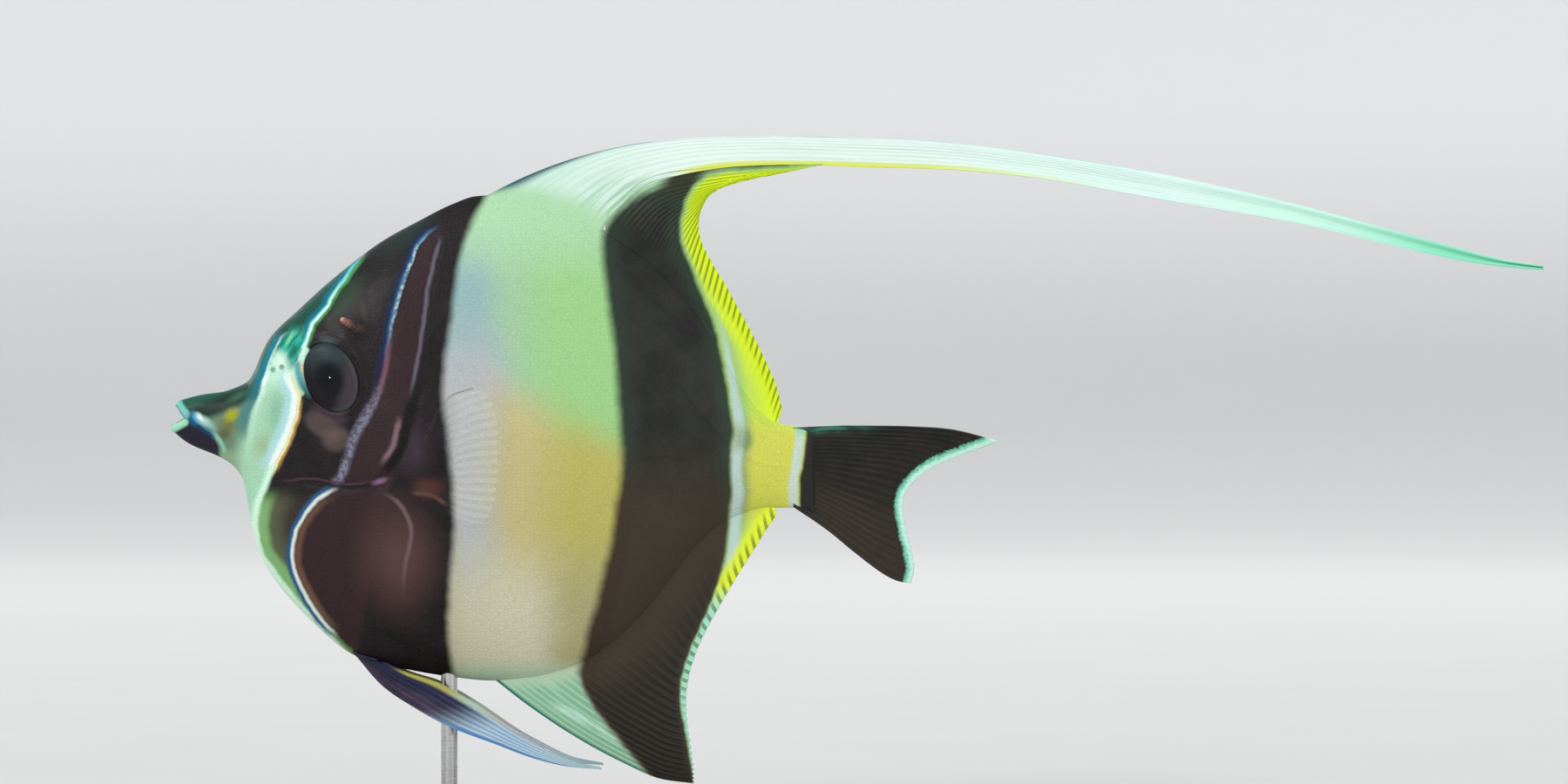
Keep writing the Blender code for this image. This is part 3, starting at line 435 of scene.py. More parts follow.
class Finish:
    """A Principled material, with short words for the nodes that paint it."""

    def __init__(self, name, **settings):
        self.material = bpy.data.materials.new(name)
        self.material.use_nodes = True
        self.tree = self.material.node_tree
        self.shader = self.tree.nodes["Principled BSDF"]
        for socket, value in settings.items():
            self.shader.inputs[socket.replace("_", " ")].default_value = value
        self.lines = {}
        place = self.add("TexCoord").outputs["Object"]
        scale, shift = (1 / MILLIMETRE,) * 3, (SHEET_X, 0.0, SHEET_FLOOR)
        sockets = {0: place, 1: scale, 2: shift}
        self.sheet = self.add("VectorMath", sockets, operation="MULTIPLY_ADD").outputs[0]
        self.x, self.y, self.z = self.add("SeparateXYZ", {0: self.sheet}).outputs

    def add(self, kind, sockets=None, **settings):
        """A new node with its settings, and its sockets linked or set."""
        node = self.tree.nodes.new("ShaderNode" + kind)
        for name, value in settings.items():
            setattr(node, name, value)
        for socket, value in (sockets or {}).items():
            if isinstance(value, bpy.types.NodeSocket):
                self.tree.links.new(value, node.inputs[socket])
            else:
                node.inputs[socket].default_value = value
        return node

    def sum(self, operation, *values):
        """The result of one Math node."""
        return self.add("Math", dict(enumerate(values)), operation=operation).outputs[0]

    def all_of(self, *shares):
        """The product of several shares."""
        product = shares[0]
        for share in shares[1:]:
            product = self.sum("MULTIPLY", product, share)
        return product

    def fade(self, value, start, end):
        """Goes smoothly from 0 to 1 as the value goes from start to end."""
        sockets = {"Value": value, "From Min": start, "From Max": end}
        return self.add("MapRange", sockets, interpolation_type="SMOOTHSTEP").outputs[0]

    def aft(self, start, end):
        """Goes from 0 to 1 as x, which runs to the tail, goes from start to end."""
        return self.fade(self.x, start, end)

    def up(self, start, end):
        """Goes from 0 to 1 as the height z goes from start to end."""
        return self.fade(self.z, start, end)

    def over(self, below, above, share):
        """One colour laid over another."""
        sockets = {0: share}
        for socket, colour in ((6, below), (7, above)):
            sockets[socket] = paint(*colour) if isinstance(colour, tuple) else colour
        return self.add("Mix", sockets, data_type="RGBA").outputs[2]

    def lay(self, colour, *layers):
        """Lays colours over one another. Each comes with one share, or with several to be multiplied."""
        for above, *shares in layers:
            colour = self.over(colour, above, self.all_of(*shares))
        return colour

    def draw(self, colour, name, *strokes):
        """Draws strokes along a line of the pattern. Each is a colour and how to draw it."""
        for above, *how in strokes:
            colour = self.over(colour, above, self.stroke(name, *how))
        return colour

    def dab(self, colour, *spots):
        """Dabs spots. Each is a colour and what kind of spot it is."""
        for above, *how in spots:
            colour = self.over(colour, above, self.spot(*how))
        return colour

    def between(self, below, above, share):
        """A number that goes from one to the other with a share."""
        return self.add("Mix", {0: share, 2: below, 3: above}, data_type="FLOAT").outputs[0]

    def noted(self, name):
        """The number that the mesh keeps under a name."""
        return self.add("Attribute", attribute_name=name).outputs["Fac"]

    def noise(self, per_mm, detail=2.0, stretch=(1.0, 1.0, 1.0), turn=0.0):
        """Cloudy noise with so many lumps to the millimetre, stretched along the sheet's turned axes."""
        sockets = {"Vector": self.sheet, "Rotation": (0.0, -turn, 0.0), "Scale": stretch}
        where = self.add("Mapping", sockets, vector_type="TEXTURE").outputs[0]
        return self.add("TexNoise", {"Vector": where, "Scale": per_mm, "Detail": detail}).outputs[0]

    def line(self, name):
        """Distance from a line of the pattern, a little unsteady, and the share along it."""
        if name not in self.lines:
            wobble = self.sum("MULTIPLY_ADD", self.noise(0.35), 0.8, -0.4)
            distance = self.sum("ADD", self.noted("line_" + name), wobble)
            self.lines[name] = distance, self.noted("share_" + name)
        return self.lines[name]

    def past(self, name, start, end):
        """Goes from 0 to 1 as the distance from a line goes from start to end."""
        return self.fade(self.line(name)[0], start, end)

    def behind(self, name, soft, shift=0.0):
        """1 on the tail's side of a line, 0 on the snout's side."""
        return self.past(name, shift - soft / 2, shift + soft / 2)

    def stroke(self, name, width, soft=0.5, shift=0.0, start=None, end=None, strength=1.0):
        """A line of the pattern, drawn with a width, and fading along its length."""
        distance, share = self.line(name)
        off = self.sum("ABSOLUTE", self.sum("SUBTRACT", distance, shift))
        drawn = self.fade(off, (width + soft) / 2, max(width - soft, 0.0) / 2)
        for limits in (start, end):
            if limits:
                drawn = self.all_of(drawn, self.fade(share, *limits))
        return self.all_of(drawn, strength) if strength < 1 else drawn

    def spot(self, x, z, radius_x, radius_z, turn=0.0, core=0.3, strength=1.0):
        """A soft round or oval spot where the camera sees it, turned anticlockwise."""
        (x, z), = drawn_back([(x, z)])
        sockets = {"Vector": self.sheet, "Location": (x, 0.0, z), "Rotation": (0.0, -turn, 0.0)}
        sockets["Scale"] = (radius_x, 1e4, radius_z)
        local = self.add("Mapping", sockets, vector_type="TEXTURE").outputs[0]
        inwards = self.add("TexGradient", {0: local}, gradient_type="SPHERICAL").outputs["Fac"]
        drawn = self.fade(inwards, 0.0, 1.0 - core)
        return self.all_of(drawn, strength) if strength < 1 else drawn

    def relief(self, height, depth_mm, strength=1.0):
        """Raises and sinks the surface by a height from 0 to 1."""
        sockets = {"Height": height, "Distance": depth_mm * MILLIMETRE, "Strength": strength}
        bump = self.add("Bump", sockets).outputs[0]
        self.tree.links.new(bump, self.shader.inputs["Normal"])

    def set(self, socket, value):
        """Feeds a socket of the shader."""
        self.tree.links.new(value, self.shader.inputs[socket])

    def roughness(self, low, high, per_mm):
        """Gloss that varies over the surface."""
        sockets = {"Value": self.noise(per_mm), "From Min": 0.3, "From Max": 0.7}
        sockets |= {"To Min": low, "To Max": high}
        self.set("Roughness", self.add("MapRange", sockets).outputs[0])


print("a screen's middle grey in linear light:", round(paint(128, 128, 128)[0], 3))

# %% [markdown]
# ## The bands
# The same bands cross the body and run on into the fins that stand on it. So one recipe paints them, and
# the skin, the streamer, the dorsal fin and the anal fin all call it. It works from the snout back: each
# band is laid over what is ahead of it, with the softness that its edge has on the fish.

# %% Paint the bands


def white_band(finish):
    """The broad pale band, its tints partly painted light: blue-grey ahead, green above and behind, ochre and
    cream from mid-height down.
    """
    drift = finish.sum("MULTIPLY_ADD", finish.noise(0.08, 3.0), 6.0, -3.0)
    x, z = finish.sum("ADD", finish.x, drift), finish.sum("ADD", finish.z, drift)
    upper = finish.lay(
        (148, 180, 180),
        ((160, 200, 160), finish.fade(x, 65.0, 76.0)),
        ((156, 206, 136), finish.fade(x, 72.0, 86.0)),
        ((172, 214, 170), finish.fade(z, 38.0, 54.0)),
        ((178, 184, 190), finish.fade(x, 78.0, 67.0), finish.fade(z, 36.0, 16.0)),
    )
    middle = finish.lay(
        (182, 184, 184),
        ((200, 188, 132), finish.fade(x, 64.0, 76.0)),
        ((186, 180, 96), finish.fade(x, 75.0, 90.0)),
    )
    lower = finish.lay(
        (202, 199, 172),
        ((210, 206, 178), finish.fade(x, 65.0, 73.0)),
        ((176, 172, 124), finish.fade(x, 77.0, 88.0)),
        ((180, 206, 176), finish.up(-41.0, -46.0)),
    )
    tilt = finish.sum("MULTIPLY_ADD", x, 0.5, z)
    return finish.lay(
        middle,
        (upper, finish.fade(tilt, 46.0, 60.0)),
        (lower, finish.fade(z, -12.0, -32.0)),
        ((168, 170, 138), finish.aft(66.0, 60.0), finish.up(-4.0, -16.0), 0.4),
    )


def yellow_zone(finish):
    """The yellow between the black band and the tail, with a white stripe along its front edge and a painted
    shadow on the stalk's front.
    """
    distance, _ = finish.line("band_2_rear")
    on_stalk = finish.fade(finish.sum("ABSOLUTE", finish.sum("ADD", finish.z, 1.0)), 15.0, 7.0)
    yellow = finish.over((194, 224, 84), (206, 210, 84), on_stalk)
    green = finish.over((160, 200, 116), (146, 164, 110), on_stalk)
    broad = finish.all_of(finish.up(38.0, 24.0), finish.up(-20.0, -13.0))
    spread = finish.sum("MULTIPLY_ADD", broad, 1.9, 0.8)
    beyond = finish.sum("DIVIDE", distance, spread)
    half = finish.sum("MULTIPLY_ADD", finish.up(30.0, 2.0), 0.6, 0.5)
    off = finish.sum("ABSOLUTE", finish.sum("SUBTRACT", distance, 1.7))
    stripe = finish.fade(finish.sum("DIVIDE", off, half), 1.7, 0.4)
    # The stripe fades into a painted shadow on the front of the stalk.
    out_of_shade = finish.sum("SUBTRACT", 1.0, finish.spot(122.8, 6.4, 4.0, 4.6, strength=0.55))
    return finish.lay(
        green,
        (yellow, finish.fade(beyond, 0.9, 2.1)),
        # A greenish painted shadow on the front of the stalk.
        ((104, 132, 86), finish.spot(124.4, 5.6, 2.6, 3.4, strength=0.7)),
        ((184, 208, 200), stripe, finish.up(36.0, 20.0), finish.up(-26.0, -18.0), out_of_shade),
    )


def bands(finish, ahead):
    """All the bands from the dark first one back, laid over the colour of what is ahead."""
    rim = finish.over((60, 46, 34), (42, 56, 45), finish.up(-12.0, 8.0))
    black = finish.lay(
        (26, 28, 26),
        ((40, 42, 36), finish.fade(finish.noise(0.14, 4.0), 0.3, 0.7)),
        ((68, 58, 44), finish.up(10.0, -14.0), 0.7),
        (rim, finish.past("band_2_front", 6.0, 0.5), 0.8),
        ((44, 66, 50), finish.past("band_2_rear", -4.0, -0.3), finish.up(-14.0, 4.0), 0.6),
    )
    return finish.lay(
        ahead,
        (white_band(finish), finish.behind("band_1_rear", 2.4, 0.3)),
        (black, finish.behind("band_2_front", 2.8, -0.3)),
        (yellow_zone(finish), finish.behind("band_2_rear", 1.3, 0.3)),
    )


print("band recipe ready")

# %% [markdown]
# ## The painted skin
# The head carries the finest work: a pale face between a dark green snout and the dark first band, the
# bright lines on the brow, cheek and breast, a yellow patch on the snout. Each is a stroke or a spot over
# the last colour. Bright lines have a blue edge ahead and an orange edge behind, as on the fish.
# A spot is written as its colour, its place, its two radii, its turn, the share of it that is solid and
# its strength. A stroke is its colour, its width, its softness, how far behind the line it runs, between
# which shares of the line it fades in and out, and its strength.

# %% Paint the snout and the face


def snout_and_face(finish):
    """The green-black snout, dark along its ridge partly as painted shade, its yellow patch, the jaws, and
    the pale face with a painted shade before its rear line.
    """
    ridge = finish.sum("SUBTRACT", finish.z, finish.sum("MULTIPLY", finish.x, 0.42))
    # The snout is dark green along its ridge, partly its own colour and partly painted shade.
    snout = finish.lay(
        (104, 134, 110),
        ((8, 44, 30), finish.fade(ridge, 5.8, 8.2)),
        ((20, 86, 66), finish.fade(ridge, 9.8, 12.4)),
    )
    snout = finish.dab(
        snout,
        ((50, 100, 72), 14.0, 15.3, 4.0, 1.4, 0.5, 0.0),
        ((92, 134, 120), 16.0, 10.6, 2.4, 5.0, -0.2, 0.0),
        ((112, 116, 66), 11.6, 8.8, 3.2, 3.4, 0.4, 0.0),
        ((78, 80, 44), 10.8, 6.9, 2.4, 2.2, 0.4, 0.0, 0.7),
        ((160, 164, 10), 12.5, 11.1, 2.7, 1.9, 0.7, 0.15),
    )
    snout = finish.over(snout, (146, 178, 144), finish.up(5.0, 1.5))
    face = finish.dab(
        (164, 210, 176),
        # A blue-grey painted shade on the face before its rear line.
        ((140, 192, 162), 22.4, 11.5, 3.6, 8.5, -0.15, 0.0),
        ((156, 188, 146), 19.6, 4.4, 4.4, 4.6, 0.0, 0.0),
    )
    face = finish.lay(
        face,
        ((164, 212, 182), finish.up(1.0, -5.0)),
        ((206, 242, 222), finish.up(-7.0, -14.0)),
        ((200, 238, 216), finish.up(15.0, 21.0)),
    )
    colour = finish.over(snout, face, finish.behind("face_front", 1.2))
    colour = finish.lay(colour, (face, finish.aft(12.5, 16.5), finish.up(9.0, 4.0)))
    return finish.draw(
        colour, "face_front",
        # A teal band ahead of the face's front line, partly painted shade on the snout's ridge.
        ((48, 124, 128), 2.2, 2.2, -1.5, (0.2, 0.5), (0.95, 0.65), 0.7),
        ((0, 122, 146), 1.2, 1.2, -0.9, None, (0.62, 0.4)),
        ((228, 255, 248), 1.0, 0.8, 0.3, (0.0, 0.1), (0.75, 0.5)),
        ((178, 220, 196), 1.6, 1.4, 0.5, (0.4, 0.55), (1.0, 0.8), 0.8),
    )


def jaws(finish, colour):
    """The dark lower jaw under its blue line, painted highlights along the jaw and at the mouth's corner, and
    both lips.
    """
    colour = finish.lay(
        colour,
        ((34, 30, 46), finish.past("jaw", 0.2, -0.5), finish.aft(10.8, 9.4)),
        # A pale painted highlight on the jaw line.
        ((138, 176, 164), finish.spot(7.8, 9.0, 2.8, 1.5, -0.8, 0.0)),
    )
    colour = finish.draw(
        colour, "jaw",
        # The two pale strokes are painted highlights along the jaw; the dark blue one is the jaw's own line.
        ((76, 136, 152), 0.7, 0.7, 0.6, (0.05, 0.2), (0.75, 0.5)),
        ((140, 196, 174), 0.9, 0.8, 0.7, (0.5, 0.7), (1.0, 0.9)),
        ((0, 54, 92), 0.8, 0.8, -0.2, None, (0.8, 0.5)),
    )
    lips = finish.over((160, 222, 188), (118, 192, 182), finish.up(9.6, 10.6))
    return finish.dab(
        finish.over(colour, lips, finish.noted("on_lip")),
        ((20, 92, 140), 4.0, 10.2, 1.2, 2.4, 0.4, 0.0),
        # The pale dabs behind the mouth's corner are painted highlights.
        ((96, 190, 222), 4.9, 10.6, 1.2, 2.2, 0.6, 0.0),
        ((170, 208, 200), 6.6, 9.8, 1.5, 2.2, 0.9, 0.0),
        ((232, 246, 240), 5.6, 10.7, 0.9, 1.7, 0.6, 0.0),
    )


print("face recipe ready")

# %% [markdown]
# Behind the face the head is dark. It carries a grey painted sheen on the cheek under the eye and a
# painted highlight over the eye, the bright lines that follow the bones of the gill cover, the dark slit
# of the gill itself with its pink rim, and the curved white line of the breast. The horns stand on an
# orange-brown patch above the eye.

# %% Paint the dark band on the head


def dark_band(finish):
    """The first dark band with its patches, a painted sheen on the cheek and a painted highlight over the
    eye, from the brow to behind the gill.
    """
    dark = finish.lay(
        (14, 10, 12),
        ((27, 19, 22), finish.fade(finish.noise(0.2, 3.0), 0.3, 0.7)),
        ((50, 29, 33), finish.behind("cheek", 1.6, 0.6), finish.past("shoulder", 0.4, -0.8), 0.8),
    )
    dark = finish.dab(
        dark,
        ((50, 36, 50), 52.0, 4.0, 7.0, 9.0, 0.0, 0.0),
        ((86, 58, 58), 49.0, -20.0, 13.0, 18.0, 0.0, 0.0),
        ((28, 48, 40), 50.5, 51.0, 12.0, 4.5, 0.75, 0.1),
        ((38, 66, 44), 37.5, 37.0, 8.5, 3.6, 0.9, 0.1, 0.8),
        # A pinkish painted sheen on the cheek under the eye.
        ((74, 58, 68), 33.5, 10.6, 5.4, 5.0, 0.0, 0.5, 0.6),
    )
    # The grey-brown cheek under the eye is a painted sheen.
    cheek_sheen = finish.sum(
        "MAXIMUM", finish.spot(32.2, 8.9, 5.4, 3.0, -0.5, 0.5), finish.spot(35.4, 5.8, 4.0, 3.4, 0.3, 0.5)
    )
    dark = finish.dab(
        finish.lay(dark, ((84, 70, 66), cheek_sheen, 0.8)),
        # The brightest part of the cheek's painted sheen.
        ((104, 88, 80), 34.6, 6.6, 4.0, 2.6, 0.2, 0.0, 0.6),
        # A painted highlight over the eye.
        ((66, 84, 84), 33.6, 27.4, 3.4, 1.3, -0.15, 0.1, 0.7),
        ((88, 54, 46), 55.6, -4.8, 5.0, 3.4, 0.0, 0.1, 0.8),
        ((28, 20, 22), 56.5, -9.2, 3.0, 2.0, 0.0),
        ((84, 54, 42), 39.6, 30.4, 3.2, 1.4, -0.4, 0.0, 0.7),
        ((58, 54, 40), 41.2, 34.0, 1.3, 4.4, 0.25, 0.0, 0.6),
    )
    olive = finish.lay(
        (122, 170, 108),
        ((84, 88, 66), finish.past("face_rear", 1.2, 3.6)),
        ((50, 42, 34), finish.past("face_rear", 3.4, 8.0)),
    )
    return finish.lay(dark, (olive, finish.up(-4.0, -9.0), finish.past("breast", 0.5, -1.0)))


def head_lines(finish, colour):
    """The lines that follow the bones of the head."""
    flecks = finish.fade(finish.noise(1.2, 2.0), 0.4, 0.6)
    colour = finish.draw(
        colour, "cheek",
        ((14, 28, 66), 1.4, 1.6, -0.9, (0.05, 0.15), (0.72, 0.55)),
        ((34, 94, 140), 0.7, 0.8, -0.3, (0.05, 0.15), (0.56, 0.4)),
        ((96, 136, 156), 0.45, 0.6, 0.0, (0.05, 0.15), (0.6, 0.4)),
    )
    bright = finish.stroke("cheek", 0.6, 0.6, 0.0, (0.1, 0.2), (0.5, 0.36))
    colour = finish.draw(
        finish.lay(colour, ((186, 210, 216), bright, flecks, 0.85)), "cheek",
        ((112, 76, 92), 1.0, 1.0, 0.3, (0.42, 0.55), (0.82, 0.66)),
        (finish.over((88, 84, 102), (124, 124, 144), flecks), 1.8, 1.4, 0.0, (0.6, 0.72), (1.0, 0.97)),
    )
    colour = finish.draw(colour, "shoulder", ((98, 90, 108), 0.7, 0.8, 0.0, (0.04, 0.14), (0.98, 0.8)))
    colour = finish.draw(
        colour, "gill",
        ((124, 96, 106), 1.0, 1.2, -1.9, (0.2, 0.35), (0.9, 0.7)),
        ((16, 9, 13), 1.9, 1.2, 0.0, (0.0, 0.12), (0.94, 0.8)),
    )
    colour = finish.draw(
        colour, "chin_crease",
        ((24, 16, 24), 0.8, 0.8, 0.0, (0.02, 0.3), (1.0, 0.98)),
        ((72, 48, 62), 0.4, 0.6, 0.8, (0.0, 0.2), (0.95, 0.8)),
    )
    colour = finish.dab(colour, ((150, 108, 148), 44.8, -3.3, 2.6, 1.0, 0.35, 0.0))
    colour = finish.draw(colour, "pectoral_seam", ((112, 88, 92), 0.7, 0.9, 0.0, (0.04, 0.2), (0.72, 0.4)))
    colour = finish.draw(colour, "pectoral_lower", ((96, 64, 56), 0.6, 0.9, 0.0, (0.0, 0.2), (1.0, 0.8)))
    return finish.draw(
        colour, "breast",
        ((104, 74, 56), 1.2, 1.4, 1.2, (0.0, 0.2), (1.0, 0.8)),
        ((24, 84, 128), 1.0, 0.9, -0.8, (0.0, 0.12), (1.0, 0.86)),
        ((222, 232, 228), 0.75, 0.7, 0.0, (0.0, 0.1), (1.0, 0.9)),
    )


def brow(finish, colour):
    """The teal forehead, partly painted shade on its curved front, the marbled bridge in front of the eye
    with a painted highlight on its ridge, and the bright line down the brow.
    """
    ahead = finish.past("brow", 0.3, -0.4)
    # The forehead's dark teal is partly painted shade on its curved front.
    teal = finish.lay(
        (6, 74, 58),
        ((0, 98, 112), finish.past("brow", -2.4, -0.6)),
        ((36, 60, 46), finish.up(39.0, 46.0)),
    )
    colour = finish.lay(colour, (teal, ahead, finish.up(27.0, 30.0)))
    streaks = finish.fade(finish.noise(0.8, 3.0, (3.0, 1.0, 1.0), 0.9), 0.42, 0.6)
    pale = finish.over((214, 246, 226), (138, 206, 186), finish.fade(finish.noise(1.1, 3.0), 0.54, 0.66))
    marbled = finish.dab(
        finish.over((0, 128, 108), (40, 178, 152), streaks),
        ((6, 106, 84), 26.2, 25.0, 1.5, 2.6, -0.3, 0.0),
        # A painted highlight along the ridge of the bridge.
        ((128, 206, 160), 25.2, 27.8, 2.8, 0.7, 1.1, 0.0),
        ((112, 206, 190), 28.4, 24.6, 2.0, 1.6, 0.4, 0.0),
        (pale, 22.9, 22.4, 3.0, 4.0, 0.0, 0.2),
    )
    between = ahead, finish.behind("face_front", 0.8), finish.up(19.5, 23.5), finish.up(31.5, 28.0)
    return finish.draw(
        finish.lay(colour, (marbled, *between)), "brow",
        ((0, 108, 128), 1.0, 1.2, -0.7, (0.0, 0.2), (1.0, 0.8)),
        ((72, 150, 84), 0.7, 0.8, 0.5, (0.0, 0.2), (1.0, 0.9)),
        ((96, 218, 214), 0.6, 0.6, -0.2, (0.02, 0.3), (1.02, 0.96)),
        ((226, 252, 240), 0.42, 0.5, 0.05, (0.2, 0.6), (1.02, 0.96)),
    )


def face_edge(finish, colour):
    """The broad white line between the pale face and the dark band, blue ahead and orange behind."""
    whole = (0.0, 0.07), (0.37, 0.32)
    colour = finish.draw(
        colour, "face_rear",
        ((176, 134, 66), 0.7, 0.8, 0.7, (0.1, 0.16), (0.36, 0.3)),
        ((172, 218, 222), 2.2, 2.0, -1.9, *whole),
        ((236, 248, 240), 1.5, 1.0, -0.7, *whole),
        ((240, 228, 168), 0.5, 0.6, 0.25, *whole),
        ((126, 178, 112), 2.2, 1.8, 1.2, (0.42, 0.5), (0.96, 0.7), 0.7),
        ((212, 248, 222), 1.3, 1.4, -0.6, (0.3, 0.36), (0.96, 0.7)),
    )
    along = finish.line("eye_strip")[1]
    pale = finish.over((88, 164, 168), (58, 96, 98), finish.fade(along, 0.3, 0.8))
    warm = finish.over((232, 190, 124), (96, 92, 88), finish.fade(along, 0.45, 0.8))
    return finish.draw(
        colour, "eye_strip",
        (pale, 1.5, 1.0, 0.0, (0.0, 0.12), (0.95, 0.7)),
        (warm, 0.5, 0.6, 1.1, (0.05, 0.2), (1.05, 0.9)),
    )


print("head recipes ready")

# %% [markdown]
# The finished skin has a satin varnish, as a museum model has, and tiny rough scales. Scales under a
# millimetre are too small to model, so a bump of small cells raises them, with the gloss varying a
# little from place to place. The eye's socket is a dark grey, the inside of the mouth gets a painted
# shade, and the nostrils only a light one, since their hollows are real and shade themselves.

# %% Mix the skin's finish


def scale_height(finish):
    """The height of tiny scales in loose rows, and the distance from their edges."""
    where = finish.add("Mapping", {0: finish.sheet, "Scale": (1.0, 1.0, 1.3)}).outputs[0]
    sockets = {"Vector": where, "Scale": 1.05, "Randomness": 0.7}
    cells = finish.add("TexVoronoi", sockets, feature="DISTANCE_TO_EDGE").outputs[0]
    return finish.sum("MULTIPLY_ADD", finish.noise(3.0, 3.0), 0.25, finish.fade(cells, 0.0, 0.25)), cells


def mix_skin():
    """The whole pattern on the body."""
    finish = Finish("painted_skin", Coat_Weight=0.05, Coat_Roughness=0.2, Specular_IOR_Level=0.16)
    colour = finish.over(snout_and_face(finish), dark_band(finish), finish.behind("dark_front", 0.7))
    colour = head_lines(finish, face_edge(finish, brow(finish, colour)))
    bar = finish.over((198, 216, 206), (134, 206, 172), finish.up(5.0, 9.0))
    height, cells = scale_height(finish)
    finish.relief(height, 0.045, 0.7)
    colour = finish.lay(
        bands(finish, colour),
        (bar, finish.stroke("stalk_bar", 1.9, 1.3)),
        ((34, 36, 32), finish.behind("stalk_bar", 0.9, 1.3)),
        ((70, 66, 62), finish.fade(cells, 0.14, 0.0), 0.12),
        ((40, 42, 48), finish.fade(finish.noted("eye_reach"), 1.02, 0.97)),
    )
    colour = finish.lay(
        jaws(finish, colour),
        # A painted shade inside the mouth, and a lighter one in the nostrils.
        ((30, 18, 20), finish.noted("in_mouth")),
        ((84, 128, 112), finish.noted("in_nostril"), 0.55),
    )
    finish.set("Base Color", colour)
    finish.roughness(0.38, 0.52, 0.4)
    return finish


skin_finish = mix_skin()
print("skin nodes:", len(skin_finish.tree.nodes))

# %% [markdown]
# ## The skin's form
# One closed skin covers head, jaw, body and tail stalk, so no seam shows. It starts as a flat net whose
# columns are stations along the fish and whose rows run round it. The net is wrapped on the body's form,
# sewn along the belly and closed at both ends. Stations stand close together at the lips and the head,
# and the net is divided once more round the eyes and nostrils, where the form is finest.

# %% Wrap the net
EYE, EYE_RADII, EYE_TILT = (35.1, 19.2), (5.6, 7.7), math.radians(26.0)  # the oval leans forwards
NOSTRILS = [(22.1, 20.9), (24.1, 21.5)]
STATIONS = np.concatenate([
    np.arange(-0.6, 5.0, 0.14), np.arange(5.0, 46.0, 0.36), np.arange(46.0, 137.0, 0.72),
    np.arange(137.0, 139.6, 0.3), [139.6],
])
AROUND = 300
FINE_EYE_REACH, FINE_NOSTRIL_RADIUS = 1.4, 1.8  # within these the net is divided once more
WELD = 2e-4  # corners of the net closer together than this become one
CROWDING = 0.2  # how much closer the rows lie at mid-flank than at the back and belly


def net_angle(share):
    """The angle round the body of a row of the net."""
    even = math.tau * share - math.pi / 2
    return even - CROWDING * np.sin(2 * even)


def eye_reach(x, z):
    """1 on the outline of the eye, less inside it."""
    x, z, cosine, sine = x - EYE[0], z - EYE[1], math.cos(EYE_TILT), math.sin(EYE_TILT)
    return np.hypot((x * cosine + z * sine) / EYE_RADII[0], (z * cosine - x * sine) / EYE_RADII[1])


def wrapped(net):
    """Places on the body for places on the flat net, which runs from -1 to 1 both ways."""
    column = (net[:, 0] + 1) / 2 * (len(STATIONS) - 1)
    x = np.interp(column, np.arange(len(STATIONS)), STATIONS)
    return skin_point(x, net_angle((net[:, 1] + 1) / 2))


def weave_skin():
    """The closed net, wrapped on the body's form and still without any fine relief."""
    shape = bmesh.new()
    bmesh.ops.create_grid(shape, x_segments=len(STATIONS) - 1, y_segments=AROUND, size=1.0)
    faces = list(shape.faces)
    middles = wrapped(np.array([face.calc_center_median()[:2] for face in faces]))
    fine = eye_reach(middles[:, 0], middles[:, 2]) < FINE_EYE_REACH
    for x, z in NOSTRILS:
        fine |= np.hypot(middles[:, 0] - x, middles[:, 2] - z) < FINE_NOSTRIL_RADIUS
    edges = dict.fromkeys(edge for face, pick in zip(faces, fine) if pick for edge in face.edges)
    bmesh.ops.subdivide_edges(shape, edges=list(edges), cuts=1, use_grid_fill=True)
    bmesh.ops.triangulate(shape, faces=[face for face in shape.faces if len(face.verts) > 4])
    mesh = bpy.data.meshes.new("skin")
    shape.to_mesh(mesh)
    write_corners(mesh, wrapped(read_corners(mesh)[:, :2]))
    shape.clear()
    shape.from_mesh(mesh)
    bmesh.ops.remove_doubles(shape, verts=shape.verts[:], dist=WELD)
    open_ends = bmesh.ops.holes_fill(shape, edges=[edge for edge in shape.edges if edge.is_boundary], sides=0)
    bmesh.ops.triangulate(shape, faces=open_ends["faces"])
    face_outwards(shape)
    shape.to_mesh(mesh)
    shape.free()
    return mesh


skin = weave_skin()
print("net corners:", len(skin.vertices))

# %% [markdown]
# ## Fine relief
# A sculptor would now press and pull the clay. Here each feature is a height over the sheet that moves
# corners along their own normal: the rim and socket of the eye, the nostrils, the hind edge of the gill
# cover with its slit, the crease under the cheek, the line of the jaw, the fleshy pads at the fins' roots
# and the lateral line.

# %% Raise and sink the skin
EYE_SOCKET_DEPTH, EYE_RIM_HEIGHT, LID_HEIGHT = 3.0, 0.4, 0.2
GILL_COVER_HEIGHT, GILL_SLIT_DEPTH = 0.6, 0.55
LATERAL_HEIGHT, LATERAL_WIDTH = 0.13, 0.45
NOSTRIL_RIM_HEIGHT, NOSTRIL_DEPTH = 0.12, 0.5
GROOVES = {  # half width and depth, then the shares of the line over which it fades in and out
    "chin_crease": (0.55, 0.3),
    "jaw": (0.4, 0.22, (0.1, 0.3), (0.8, 1.1)),
    "cheek": (0.8, 0.16, (0.35, 0.5), (0.9, 1.0)),
    "breast": (0.7, -0.18),
    "shoulder": (0.5, 0.12),
}
PADS = [  # the roots of the pectoral fin, the pelvic fin and the horn: place, two radii, height
    (55.4, -0.3, 2.6, 5.2, 0.55), (42.0, -41.0, 4.5, 3.0, 0.5), (40.1, 30.0, 2.2, 2.2, 0.45),
]
LATERAL_LINE = [
    (52.5, 19.0), (57.0, 29.0), (64.0, 37.5), (74.0, 42.0), (86.0, 40.0), (98.0, 32.0), (108.0, 21.0),
    (117.0, 9.5), (126.0, 1.5), (135.0, -0.4),
]


def hump(distance, width):
    """A smooth hump, 1 in its middle and next to nothing at twice its width."""
    return np.exp(-((distance / width) ** 2))


